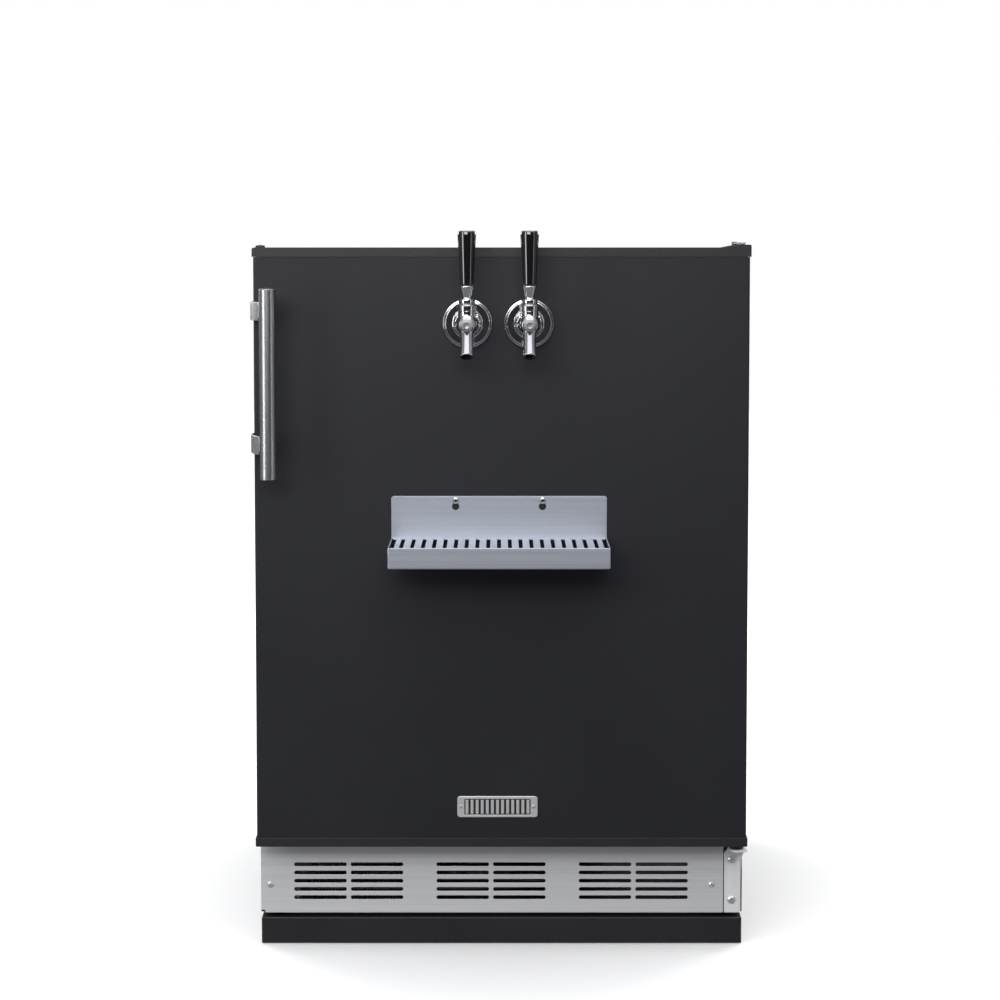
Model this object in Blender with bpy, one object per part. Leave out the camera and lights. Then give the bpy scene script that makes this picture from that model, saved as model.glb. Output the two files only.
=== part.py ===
"""A 24 in kegerator: foamed cabinet, hinged door with two beer faucets and a drip tray, kick grille, toe kick,
refrigeration parts and gas supply. Metres, +Z up, door front towards -Y, origin on the floor under the middle."""

import math

import bmesh
import bpy
from mathutils import Matrix, Vector

MM = 0.001
GAP = 0.3 * MM  # between pieces that touch in the real assembly

# ---- driving dimensions ----
FRONT_Y = -249 * MM  # door front plane
WIDTH = 598 * MM
HALF = WIDTH / 2
DOOR_BOTTOM_Z = 134 * MM
DOOR_TOP_Z = 865 * MM
DOOR_THICK = 38 * MM
CAP_TALL = 11.5 * MM
CAP_PROUD = 1.5 * MM
SKIN = 1.0 * MM

FACE_Y = FRONT_Y + 47.5 * MM  # cabinet face that the gasket meets
KICK_Y = FRONT_Y + 45 * MM  # front of the kick grille and of the toe kick
BACK_Y = 349.5 * MM
CABINET_TOP_Z = 860 * MM
CABINET_BOTTOM_Z = 40 * MM
FOAM_BOTTOM_Z = 131 * MM

LINER_HALF = 259 * MM
LINER_FLOOR_Z = 165 * MM
LINER_TOP_Z = 818 * MM
LINER_BACK_Y = 306 * MM
LINER_WALL = 2.5 * MM
STEP_DEEP = 90 * MM
STEP_TALL = 100 * MM
STEP_FOAM = 23 * MM

HINGE_X = 289.5 * MM
HINGE_Y = FRONT_Y + 20 * MM
PIN_R = 4 * MM
TONGUE_TOP_Z = 127 * MM

KICK_TOP_Z = 128 * MM
KICK_BOTTOM_Z = 39.3 * MM
GRILLE_RIGHT_X = 276 * MM
GRILLE_CENTRE_X = -13 * MM
TOE_TOP_Z = 33.5 * MM
TOE_BOTTOM_Z = 1 * MM
TOE_BACK_Y = 335 * MM

FOOT_X = 257 * MM
FOOT_FRONT_Y = KICK_Y + 45 * MM
FOOT_BACK_Y = 305 * MM

HANDLE_X = -277 * MM
HANDLE_Y = FRONT_Y - 52 * MM
HANDLE_R = 10 * MM
HANDLE_Z = (590 * MM, 816 * MM)
HANDLE_BRACKET_Z = (630 * MM, 789.5 * MM)
HANDLE_BRACKET_TALL = 22 * MM

TAP_X = {"left": -41 * MM, "right": 33 * MM}
TAP_Z = 774 * MM
SHANK_R = 11 * MM
LEVER_Y = FRONT_Y - 57 * MM
LEVER_Z = 803.5 * MM  # centre of the lever's ball

TRAY_X = -3 * MM
TRAY_HALF = 130.5 * MM
TRAY_DEEP = 102 * MM
TRAY_Z = (489.5 * MM, 514.5 * MM)
TRAY_BACK_TOP_Z = 565 * MM
TRAY_SHEET = 1.2 * MM
TRAY_SCREW_DX = 52.5 * MM
TRAY_SCREW_Z = 559.7 * MM
KEYHOLE_DROP = 7.4 * MM

BADGE = {"x": -5 * MM, "z": 184 * MM, "wide": 98 * MM, "tall": 26 * MM}

CYLINDER_X = 200.5 * MM
CYLINDER_Y = 247.5 * MM
CYLINDER_R = 55 * MM
VALVE_Z = 577 * MM

COND_FAN = (-88 * MM, -129 * MM, 86 * MM)
EVAP_FAN = (-45 * MM, 288 * MM, 660 * MM)


# ---- scene and materials ----
def clear_scene():
    for obj in list(bpy.data.objects):
        bpy.data.objects.remove(obj, do_unlink=True)


def make_material(name, color, roughness, metallic=0.0):
    mat = bpy.data.materials.new(name)
    mat.use_nodes = True
    shader = mat.node_tree.nodes["Principled BSDF"]
    shader.inputs["Base Color"].default_value = (*color, 1.0)
    shader.inputs["Roughness"].default_value = roughness
    shader.inputs["Metallic"].default_value = metallic
    return mat


def make_materials():
    return {
        "black_paint": make_material("black_paint", (0.032, 0.033, 0.038), 0.5),
        "black_plastic": make_material("black_plastic", (0.015, 0.015, 0.017), 0.45),
        "gloss_black": make_material("gloss_black", (0.006, 0.006, 0.007), 0.08),
        "brushed": make_material("brushed_stainless", (0.60, 0.61, 0.62), 0.32, 1.0),
        "chrome": make_material("chrome", (0.86, 0.86, 0.88), 0.06, 1.0),
        "zinc": make_material("zinc_steel", (0.52, 0.53, 0.54), 0.4, 1.0),
        "liner": make_material("white_liner", (0.80, 0.81, 0.80), 0.35),
        "foam": make_material("foam", (0.75, 0.66, 0.42), 0.9),
        "rubber": make_material("gasket_rubber", (0.02, 0.02, 0.021), 0.7),
        "clear": make_material("lens", (0.85, 0.87, 0.88), 0.2),
        "silver_paint": make_material("cylinder_paint", (0.62, 0.63, 0.64), 0.4, 0.6),
        "brass": make_material("brass", (0.62, 0.44, 0.18), 0.3, 1.0),
    }


# ---- shapes, each a closed bmesh in world coordinates ----
def box(low, high):
    bm = bmesh.new()
    bmesh.ops.create_cube(bm, size=1.0)
    low, high = Vector(low), Vector(high)
    size = high - low
    centre = (low + high) / 2
    for v in bm.verts:
        v.co = Vector((v.co.x * size.x, v.co.y * size.y, v.co.z * size.z)) + centre
    return bm


def prism(outline, axis, start, end):
    """The outline extruded from start to end. It holds (y, z) for axis X, (x, z) for Y and (x, y) for Z."""
    place = {
        "X": lambda a, b, t: (t, a, b),
        "Y": lambda a, b, t: (a, t, b),
        "Z": lambda a, b, t: (a, b, t),
    }[axis]
    bm = bmesh.new()
    first = [bm.verts.new(place(a, b, start)) for a, b in outline]
    second = [bm.verts.new(place(a, b, end)) for a, b in outline]
    bm.faces.new(first)
    bm.faces.new(second)
    for i in range(len(outline)):
        j = (i + 1) % len(outline)
        bm.faces.new((first[i], first[j], second[j], second[i]))
    bmesh.ops.recalc_face_normals(bm, faces=bm.faces)
    return bm


def turned(profile, axis, centre, segments=20, ring=False):
    """A profile of (radius, along) turned about the axis through centre. A ring's profile closes on itself."""
    bm = bmesh.new()
    rows = []
    for radius, along in profile:
        if radius < 1e-9:
            rows.append([bm.verts.new((0, 0, along))] * segments)
            continue
        turn = [2 * math.pi * i / segments for i in range(segments)]
        rows.append([bm.verts.new((radius * math.cos(a), radius * math.sin(a), along)) for a in turn])
    pairs = list(zip(rows, rows[1:]))
    if ring:
        pairs.append((rows[-1], rows[0]))
    for one, two in pairs:
        for i in range(segments):
            j = (i + 1) % segments
            corners = list(dict.fromkeys((one[i], one[j], two[j], two[i])))
            if len(corners) > 2:
                bm.faces.new(corners)
    if not ring:
        for row in (rows[0], rows[-1]):
            if row[0] is not row[1]:
                bm.faces.new(row)
    turn_to = {
        "X": Matrix.Rotation(math.pi / 2, 3, "Y"),
        "Y": Matrix.Rotation(-math.pi / 2, 3, "X"),
        "Z": Matrix.Identity(3),
    }[axis]
    bmesh.ops.transform(bm, matrix=Matrix.Translation(centre) @ turn_to.to_4x4(), verts=bm.verts)
    bmesh.ops.recalc_face_normals(bm, faces=bm.faces)
    return bm


def rod(radius, start, end, axis, centre, segments=16):
    """A plain cylinder whose along-axis run is start to end, measured from centre."""
    return turned([(radius, start), (radius, end)], axis, centre, segments)


def slot_outline(x, z, long, wide, steps=3):
    """A level slot with round ends about (x, z)."""
    r = wide / 2
    points = []
    for side in (1, -1):
        for i in range(steps + 1):
            a = -math.pi / 2 + math.pi * i / steps
            points.append((x + side * (long / 2 - r + r * math.cos(a)), z + side * r * math.sin(a)))
    return points


def path_strip(points, thick):
    """A strip of even thickness along a plan path, as a closed outline."""
    left, right = [], []
    for i, p in enumerate(points):
        before = Vector(points[max(i - 1, 0)])
        after = Vector(points[min(i + 1, len(points) - 1)])
        along = (after - before).normalized()
        side = Vector((-along.y, along.x)) * thick / 2
        left.append(tuple(Vector(p) + side))
        right.append(tuple(Vector(p) - side))
    return left + right[::-1]


# ---- objects ----
def empty(name, place, parent=None):
    obj = bpy.data.objects.new(name, None)
    bpy.context.scene.collection.objects.link(obj)
    obj.empty_display_size = 20 * MM
    obj.parent = parent
    obj["world_place"] = tuple(place)
    obj.location = Vector(place) - (Vector(parent["world_place"]) if parent else Vector())
    return obj


def add(name, bm, mat, parent, smooth=True):
    """One named piece: its mesh is measured from its parent's empty, where its own origin sits."""
    origin = Vector(parent["world_place"])
    bmesh.ops.translate(bm, vec=-origin, verts=bm.verts)
    mesh = bpy.data.meshes.new(name)
    bm.to_mesh(mesh)
    bm.free()
    obj = bpy.data.objects.new(name, mesh)
    bpy.context.scene.collection.objects.link(obj)
    obj.parent = parent
    if mat is not None:
        mesh.materials.append(mat)
    if smooth:
        mesh.shade_smooth()
        mesh.set_sharp_from_angle(angle=math.radians(35))
    return obj


def helper(obj, bm, operation):
    """A hidden mesh that a Boolean on obj uses."""
    other = add(f"{obj.name}_{operation.lower()}_{len(obj.modifiers)}", bm, None, obj.parent, False)
    other.hide_render = True
    other.display_type = "WIRE"
    modifier = obj.modifiers.new(other.name, "BOOLEAN")
    modifier.operation = operation
    modifier.solver = "EXACT"
    modifier.object = other


def cut(obj, *shapes):
    for bm in shapes:
        helper(obj, bm, "DIFFERENCE")


def fuse(obj, *shapes):
    for bm in shapes:
        helper(obj, bm, "UNION")


# ---- cabinet ----
def liner_outline(grow):
    """The keg compartment's side outline, (y, z), over the compressor step. grow moves every wall outwards."""
    step_y = LINER_BACK_Y - STEP_DEEP + grow
    step_z = LINER_FLOOR_Z + STEP_TALL - grow
    return [
        (FACE_Y, LINER_FLOOR_Z - grow),
        (step_y, LINER_FLOOR_Z - grow),
        (step_y, step_z),
        (LINER_BACK_Y + grow, step_z),
        (LINER_BACK_Y + grow, LINER_TOP_Z + grow),
        (FACE_Y, LINER_TOP_Z + grow),
    ]


def make_wrapper(mats, root):
    wrapper = add(
        "cabinet_wrapper",
        box((-HALF, FACE_Y, CABINET_BOTTOM_Z), (HALF, BACK_Y, CABINET_TOP_Z)),
        mats["black_paint"], root, False,
    )
    flange = 12 * MM
    inside = HALF - SKIN
    cut(
        wrapper,
        box((-inside, FACE_Y + SKIN, 0), (inside, BACK_Y + 0.1, CABINET_TOP_Z - SKIN)),
        box((-HALF + flange, FACE_Y - 0.01, 0), (HALF - flange, FACE_Y + 0.02, CABINET_TOP_Z - flange)),
    )


def make_liner(mats, root):
    flange_half = HALF - 12.3 * MM
    liner = add(
        "inner_liner",
        prism(liner_outline(LINER_WALL), "X", -LINER_HALF - LINER_WALL, LINER_HALF + LINER_WALL),
        mats["liner"], root, False,
    )
    flange_top = CABINET_TOP_Z - 12.3 * MM
    fuse(liner, box((-flange_half, FACE_Y, FOAM_BOTTOM_Z), (flange_half, FACE_Y + LINER_WALL, flange_top)))
    hollow = liner_outline(0)
    hollow[0] = (FACE_Y - 0.02, LINER_FLOOR_Z)
    hollow[-1] = (FACE_Y - 0.02, LINER_TOP_Z)
    cut(liner, prism(hollow, "X", -LINER_HALF, LINER_HALF))


def make_insulation(mats, root):
    step_y = LINER_BACK_Y - STEP_DEEP + LINER_WALL + STEP_FOAM
    step_z = LINER_FLOOR_Z + STEP_TALL - LINER_WALL - STEP_FOAM
    front = FACE_Y + LINER_WALL + GAP
    top = CABINET_TOP_Z - SKIN - GAP
    outline = [
        (front, FOAM_BOTTOM_Z), (step_y, FOAM_BOTTOM_Z), (step_y, step_z),
        (BACK_Y - 2 * MM, step_z), (BACK_Y - 2 * MM, top), (front, top),
    ]
    inside = HALF - SKIN - GAP
    foam = add("insulation_foam", prism(outline, "X", -inside, inside), mats["foam"], root, False)
    hollow = liner_outline(LINER_WALL + GAP)
    hollow[0] = (FACE_Y - 0.02, hollow[0][1])
    hollow[-1] = (FACE_Y - 0.02, hollow[-1][1])
    reach = LINER_HALF + LINER_WALL + GAP
    cut(foam, prism(hollow, "X", -reach, reach))


def make_cabinet_sheets(mats, root):
    inside = HALF - SKIN - GAP
    step_z = LINER_FLOOR_Z + STEP_TALL - LINER_WALL - STEP_FOAM
    add(
        "back_panel",
        box((-inside, BACK_Y - 1.5 * MM, step_z), (inside, BACK_Y, CABINET_TOP_Z - SKIN - GAP)),
        mats["zinc"], root, False,
    )
    base_half = inside - GAP
    front = FACE_Y + SKIN + GAP
    base = add(
        "base_frame",
        box((-base_half, front, CABINET_BOTTOM_Z), (base_half, BACK_Y - 2 * MM, FOAM_BOTTOM_Z - 2 * MM)),
        mats["black_paint"], root, False,
    )
    wall = 2 * MM
    cut(
        base,
        box((-base_half + wall, front + wall, CABINET_BOTTOM_Z + wall), (base_half - wall, BACK_Y + 0.1, 0.2)),
        box((-0.27, front - 0.01, 0.05), (0.265, front + 0.01, 0.12)),
        *[
            rod(6 * MM, -0.02, 0.02, "Z", (x, y, CABINET_BOTTOM_Z), 12)
            for x in (-FOOT_X, FOOT_X)
            for y in (FOOT_FRONT_Y, FOOT_BACK_Y)
        ],
    )
    add(
        "keg_floor_plate",
        box((-0.25, FACE_Y + 15 * MM, LINER_FLOOR_Z + GAP), (0.25, 0.205, LINER_FLOOR_Z + 1.8 * MM)),
        mats["brushed"], root, False,
    )


def make_toe_kick(mats, root):
    """A channel bent round three sides, with a flange turned in at the top and a tab in each corner."""
    side = HALF - 0.5 * MM
    sheet, flange = 1.5 * MM, 30 * MM
    toe = add("toe_kick", box((-side, KICK_Y, TOE_BOTTOM_Z), (side, TOE_BACK_Y, TOE_TOP_Z)), mats["black_paint"], root, False)
    cut(
        toe,
        box((-side + sheet, KICK_Y + sheet, -0.01), (side - sheet, 0.4, TOE_TOP_Z - sheet)),
        box((-side + flange, KICK_Y + flange, 0.0), (side - flange, 0.4, 0.05)),
    )
    for x in (-1, 1):
        for y in (-0.15, 0.28):
            low, high = sorted((x * 290 * MM, x * 296 * MM))
            fuse(toe, box((low, y, TOE_TOP_Z - 1 * MM), (high, y + 0.03, CABINET_BOTTOM_Z - GAP)))


def make_kick_grille(mats, root):
    """The front grille: three groups, each of two columns and five rows of slots."""
    sheet = 1.2 * MM
    grille = add(
        "kick_grille",
        box((-HALF, KICK_Y, KICK_BOTTOM_Z), (GRILLE_RIGHT_X, KICK_Y + sheet, KICK_TOP_Z)),
        mats["brushed"], root, False,
    )
    slot_long, slot_wide, column_gap = 65 * MM, 4.7 * MM, 5.3 * MM
    row_low, row_pitch, group_pitch = 58.6 * MM, 10.4 * MM, 176.8 * MM
    slots = None
    for group in (-1, 0, 1):
        for column in (-1, 1):
            x = GRILLE_CENTRE_X + group * group_pitch + column * (slot_long + column_gap) / 2
            for row in range(5):
                outline = slot_outline(x, row_low + row * row_pitch, slot_long, slot_wide)
                one = prism(outline, "Y", KICK_Y - 0.005, KICK_Y + 0.005)
                if slots is None:
                    slots = one
                    continue
                spare = bpy.data.meshes.new("slot")
                one.to_mesh(spare)
                one.free()
                slots.from_mesh(spare)
                bpy.data.meshes.remove(spare)
    cut(grille, slots)


def make_feet(mats, root):
    for side, x in (("left", -FOOT_X), ("right", FOOT_X)):
        for end, y in (("front", FOOT_FRONT_Y), ("back", FOOT_BACK_Y)):
            joint = empty(f"foot_{end}_{side}_screw", (x, y, 0), root)
            profile = [
                (0.018, 0), (0.018, 0.004), (0.009, 0.007), (0.009, 0.013), (0.005, 0.013), (0.005, 0.062),
            ]
            add(f"leveling_foot_{end}_{side}", turned(profile, "Z", (x, y, 0), 12), mats["zinc"], joint)


# ---- hinges ----
def make_lower_hinge(mats, root):
    left, right = GRILLE_RIGHT_X + 0.4 * MM, 297 * MM
    plate_back = FACE_Y - GAP
    plate_front = plate_back - 2.4 * MM
    tongue_z = (TONGUE_TOP_Z - 2.8 * MM, TONGUE_TOP_Z)
    bracket = add(
        "lower_hinge_bracket",
        box((left, plate_front, KICK_BOTTOM_Z), (right, plate_back, tongue_z[1])),
        mats["brushed"], root, False,
    )
    reach = FRONT_Y + 9 * MM
    tongue = [
        (281 * MM, plate_back - 1 * MM), (281 * MM, reach + 6 * MM), (285 * MM, reach), (299 * MM, reach),
        (302 * MM, reach + 3 * MM), (right, plate_back - 1 * MM),
    ]
    web_low = 82 * MM
    steps = 5
    web = []
    for i in range(steps + 1):
        s = i / steps
        z = web_low + (tongue_z[0] + 1 * MM - web_low) * s
        depth = (plate_front - reach) * (1 - math.sqrt(1 - (0.995 * s) ** 2))
        web.append((plate_front - depth, z))
    web += [(plate_back - 1 * MM, tongue_z[0] + 1 * MM), (plate_back - 1 * MM, web_low)]
    gusset = prism(web, "X", right - 2.4 * MM, right)
    for v in gusset.verts:
        ahead = max(0.0, (plate_front - v.co.y) / (plate_front - reach))
        v.co.x += 5 * MM * ahead**1.5
    fuse(
        bracket,
        prism(tongue, "Z", *tongue_z),
        gusset,
        rod(PIN_R, tongue_z[0] + 0.5 * MM, DOOR_BOTTOM_Z + 10 * MM, "Z", (HINGE_X, HINGE_Y, 0), 12),
    )
    screw_holes = [(285.5 * MM, z) for z in (106.3 * MM, 55.9 * MM)]
    cut(bracket, *[rod(2.6 * MM, -0.01, 0.01, "Y", (x, plate_front, z), 10) for x, z in screw_holes])
    for name, (x, z) in zip(("bracket_screw_upper", "bracket_screw_lower"), screw_holes):
        profile = [
            (0, -2.9 * MM), (3 * MM, -2.7 * MM), (5 * MM, -1.2 * MM), (5 * MM, -GAP), (2.3 * MM, -GAP), (2.3 * MM, 2.2 * MM),
        ]
        add(name, turned(profile, "Y", (x, plate_front, z), 12), mats["chrome"], root)


def make_upper_hinge(mats, root):
    """A joggled plate: screwed to the cabinet top behind, raised over the door in front, with the pin going down."""
    low = CABINET_TOP_Z + GAP
    high = 869 * MM
    thick = 3 * MM
    riser = FACE_Y - 1.5 * MM
    outline = [
        (FRONT_Y + 9 * MM, high), (riser, high), (riser, low), (riser + 55 * MM, low),
        (riser + 55 * MM, low + thick), (riser + thick, low + thick), (riser + thick, high + thick),
        (FRONT_Y + 9 * MM, high + thick),
    ]
    plate = add("upper_hinge_plate", prism(outline, "X", 281 * MM, 297 * MM), mats["zinc"], root, False)
    fuse(plate, rod(PIN_R, 856 * MM, high + 1 * MM, "Z", (HINGE_X, HINGE_Y, 0), 12))


# ---- machine compartment ----
def fan_rotor(centre, hub_r, tip_r, deep, blades):
    """A hub with flat pitched blades about a Y axis: the hub, and each blade as its own bmesh."""
    hub = turned([(hub_r, -deep / 2), (hub_r, deep / 2)], "Y", centre, 14)
    pitch = math.radians(28)
    vanes = []
    for i in range(blades):
        root_r = hub_r * 0.7
        vane = box((-0.42 * tip_r, -0.8 * MM, root_r), (0.42 * tip_r, 0.8 * MM, tip_r))
        for v in vane.verts:
            v.co.x *= 0.55 if v.co.z < (root_r + tip_r) / 2 else 1.0
        spin = Matrix.Rotation(2 * math.pi * i / blades, 4, "Y") @ Matrix.Rotation(pitch, 4, "Z")
        bmesh.ops.transform(vane, matrix=Matrix.Translation(centre) @ spin, verts=vane.verts)
        vanes.append(vane)
    return hub, vanes


def make_condenser(mats, root, base_z):
    condenser = add(
        "condenser",
        box((-0.235, -0.185, base_z + 4 * MM), (0.06, -0.155, 0.118)),
        mats["zinc"], root, False,
    )
    fuse(condenser, box((-0.24, -0.18, base_z), (0.065, -0.16, base_z + 6 * MM)))


def make_condenser_fan(mats, root, base_z):
    """A square shroud whose rear strut carries the motor, and the rotor in its round opening."""
    x, y, z = COND_FAN
    half, half_deep = 43 * MM, 12 * MM
    shroud = add(
        "fan_shroud",
        box((x - half, y - half_deep, base_z), (x + half, y + half_deep, 0.127)),
        mats["black_plastic"], root, False,
    )
    cut(shroud, rod(37 * MM, -0.02, 0.02, "Y", COND_FAN, 20))
    strut = box((x - 42 * MM, y + 8.5 * MM, z - 4 * MM), (x + 42 * MM, y + 11.5 * MM, z + 4 * MM))
    motor = rod(11 * MM, 8.5 * MM, 20 * MM, "Y", COND_FAN, 12)
    fuse(shroud, strut, motor)
    axis = empty("condenser_fan_axis", COND_FAN, root)
    hub, vanes = fan_rotor(COND_FAN, 12 * MM, 34 * MM, 14 * MM, 5)
    rotor = add("condenser_fan", hub, mats["black_plastic"], axis)
    fuse(rotor, *vanes)


def make_compressor(mats, root, base_z):
    """An oval can with a belt at its seam, on a foot plate with four rubber feet; the pan for defrost water over it."""
    centre = Vector((0.06, 0.2945, 0))
    can = turned(
        [
            (0.03, 0.05), (0.044, 0.06), (0.047, 0.08), (0.047, 0.132), (0.050, 0.133), (0.050, 0.139),
            (0.047, 0.140), (0.047, 0.185), (0.040, 0.205), (0.022, 0.212),
        ],
        "Z", (0, 0, 0), 20,
    )
    oval = Matrix.Diagonal((1.6, 1, 1, 1))
    bmesh.ops.transform(can, matrix=Matrix.Translation(centre) @ oval, verts=can.verts)
    compressor = add("compressor", can, mats["black_paint"], root)
    plate = box((-0.045, 0.2505, base_z + 6 * MM), (0.165, 0.3385, base_z + 10 * MM))
    rubber_feet = [
        rod(9 * MM, base_z, base_z + 7 * MM, "Z", (x, y, 0), 10)
        for x in (-0.03, 0.15)
        for y in (0.262, 0.322)
    ]
    fuse(compressor, plate)
    fuse(compressor, *rubber_feet)

    wall = 2 * MM
    low, high = Vector((-0.02, 0.246, 0.2135)), Vector((0.14, 0.338, 0.235))
    pan = add("evaporation_pan", box(low, high), mats["black_plastic"], root, False)
    inset = Vector((wall, wall, 0))
    cut(pan, box(low + inset + Vector((0, 0, wall)), high - inset + Vector((0, 0, 15 * MM))))


def make_power_inlet(mats, root, base_z):
    """A boxed socket for a detachable mains lead, open to the back."""
    inlet = add("power_inlet", box((-0.27, 0.318, base_z), (-0.226, 0.3465, 0.086)), mats["black_plastic"], root, False)
    cut(inlet, box((-0.26, 0.33, 0.056), (-0.236, 0.36, 0.076)))


def make_machine_parts(mats, root):
    base_z = CABINET_BOTTOM_Z + 2 * MM + GAP
    make_condenser(mats, root, base_z)
    make_condenser_fan(mats, root, base_z)
    make_compressor(mats, root, base_z)
    make_power_inlet(mats, root, base_z)


# ---- inside the keg compartment ----
def make_evaporator(mats, root):
    """A cover over the cold coil, with a round fan opening and a row of outlet slots above it."""
    left, right, low, high = -0.24, 0.15, 0.585, 0.812
    front, back = 0.268, LINER_BACK_Y - GAP
    wall = 2 * MM
    cover = add("evaporator_cover", box((left, front, low), (right, back, high)), mats["liner"], root, False)
    cut(
        cover,
        box((left + wall, front + wall, low + wall), (right - wall, back + 0.05, high - wall)),
        rod(46 * MM, -0.05, -0.01, "Y", EVAP_FAN, 20),
        *[
            box((left + 40 * MM, front - 0.01, z), (right - 40 * MM, front + 0.01, z + 6 * MM))
            for z in (0.735, 0.751, 0.767, 0.783)
        ],
    )
    x, y, z = EVAP_FAN
    fuse(
        cover,
        box((left + 1 * MM, y + 10.5 * MM, z - 6 * MM), (right - 1 * MM, y + 14.5 * MM, z + 6 * MM)),
        rod(14 * MM, 10.5 * MM, 16.5 * MM, "Y", EVAP_FAN, 12),
    )
    axis = empty("evaporator_fan_axis", EVAP_FAN, root)
    hub, vanes = fan_rotor(EVAP_FAN, 14 * MM, 42 * MM, 16 * MM, 5)
    rotor = add("evaporator_fan", hub, mats["black_plastic"], axis)
    fuse(rotor, *vanes)


def make_thermostat(mats, root):
    """A housing under the compartment's ceiling, with the light's lens and the temperature knob on its underside."""
    under = 0.79
    add(
        "thermostat_housing",
        box((-0.075, -0.15, under), (0.075, -0.07, LINER_TOP_Z - GAP)),
        mats["liner"], root, False,
    )
    add("light_lens", box((0.0, -0.135, under - 7 * MM), (0.062, -0.085, under - GAP)), mats["clear"], root, False)
    place = Vector((-0.04, -0.11, under - GAP))
    axis = empty("thermostat_axis", place, root)
    profile = [(15 * MM, -15 * MM), (17 * MM, -13 * MM), (18 * MM, 0)]
    knob = add("thermostat_knob", turned(profile, "Z", place, 18), mats["black_plastic"], axis)
    grip = Vector((2.5 * MM, 16.5 * MM, 0))
    fuse(knob, box(place - grip - Vector((0, 0, 18 * MM)), place + grip - Vector((0, 0, 10 * MM))))


def make_gas(mats, root):
    """The gas cylinder on the compressor step, its valve and regulator facing the door."""
    x, y, r = CYLINDER_X, CYLINDER_Y, CYLINDER_R
    low = LINER_FLOOR_Z + STEP_TALL + GAP
    shell = [
        (r - 8 * MM, low), (r, low + 8 * MM), (r, 0.5), (0.048, 0.522), (0.034, 0.539), (0.017, 0.548), (0.017, 0.562),
        (0.013, 0.562), (0.013, 0.59), (0.006, 0.59), (0.006, 0.598),
    ]
    cylinder = add("co2_cylinder", turned(shell, "Z", (x, y, 0), 24), mats["silver_paint"], root)
    fuse(cylinder, rod(0.009, -0.028, 0, "Y", (x, y, VALVE_Z), 12))
    wheel_axis = empty("co2_handwheel_axis", (x, y, 0.6), root)
    profile = [(0.007, 0.5985), (0.018, 0.5985), (0.0195, 0.604), (0.018, 0.61), (0.007, 0.611)]
    wheel = add("co2_handwheel", turned(profile, "Z", (x, y, 0), 10), mats["black_plastic"], wheel_axis, False)
    fuse(wheel, rod(0.004, 0.6105, 0.613, "Z", (x, y, 0), 8))

    ring = [(r + 0.7 * MM, 0.42), (r + 2.7 * MM, 0.42), (r + 2.7 * MM, 0.438), (r + 0.7 * MM, 0.438)]
    bracket = add("cylinder_bracket", turned(ring, "Z", (x, y, 0), 24, ring=True), mats["zinc"], root)
    fuse(bracket, box((x + r + 1.5 * MM, y - 0.018, 0.41), (LINER_HALF - GAP, y + 0.018, 0.448)))

    nut_y = y - 28 * MM - GAP
    profile = [
        (0.0135, 0), (0.0135, -0.016), (0.008, -0.018), (0.008, -0.024), (0.024, -0.026), (0.027, -0.03),
        (0.027, -0.046), (0.02, -0.056), (0.013, -0.062),
    ]
    body = add("regulator_body", turned(profile, "Y", (x, nut_y, VALVE_Z), 18), mats["brass"], root)
    gauge_y = nut_y - 0.036
    fuse(
        body,
        rod(0.006, -0.036, 0, "X", (x, gauge_y, VALVE_Z), 10),
        rod(0.006, 0, 0.036, "Z", (x, gauge_y, VALVE_Z), 10),
        rod(0.005, -0.045, 0, "Z", (x, gauge_y, VALVE_Z), 10),
    )
    gauge = [(0.020, -0.012), (0.022, -0.010), (0.022, 0.008), (0.018, 0.010)]
    add("tank_gauge", turned(gauge, "Y", (x - 0.0585, gauge_y, VALVE_Z), 18), mats["zinc"], root)
    add("line_gauge", turned(gauge, "Y", (x, gauge_y, VALVE_Z + 0.0585), 18), mats["zinc"], root)
    knob_y = nut_y - 0.062 - GAP
    knob_axis = empty("regulator_knob_axis", (x, knob_y, VALVE_Z), root)
    add(
        "regulator_knob",
        turned([(0.013, 0), (0.0145, -0.003), (0.0145, -0.016), (0.012, -0.018)], "Y", (x, knob_y, VALVE_Z), 12),
        mats["black_plastic"], knob_axis, False,
    )


# ---- door ----
def tap_holes(depth_from, depth_to, radius=SHANK_R + 0.5 * MM):
    return [
        rod(radius, depth_from, depth_to, "Y", (x, FRONT_Y, TAP_Z), 16)
        for x in TAP_X.values()
    ]


def tray_screw_holes(radius):
    return [
        rod(radius, -0.01, 0.012, "Y", (TRAY_X + side * TRAY_SCREW_DX, FRONT_Y, TRAY_SCREW_Z), 8)
        for side in (-1, 1)
    ]


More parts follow.
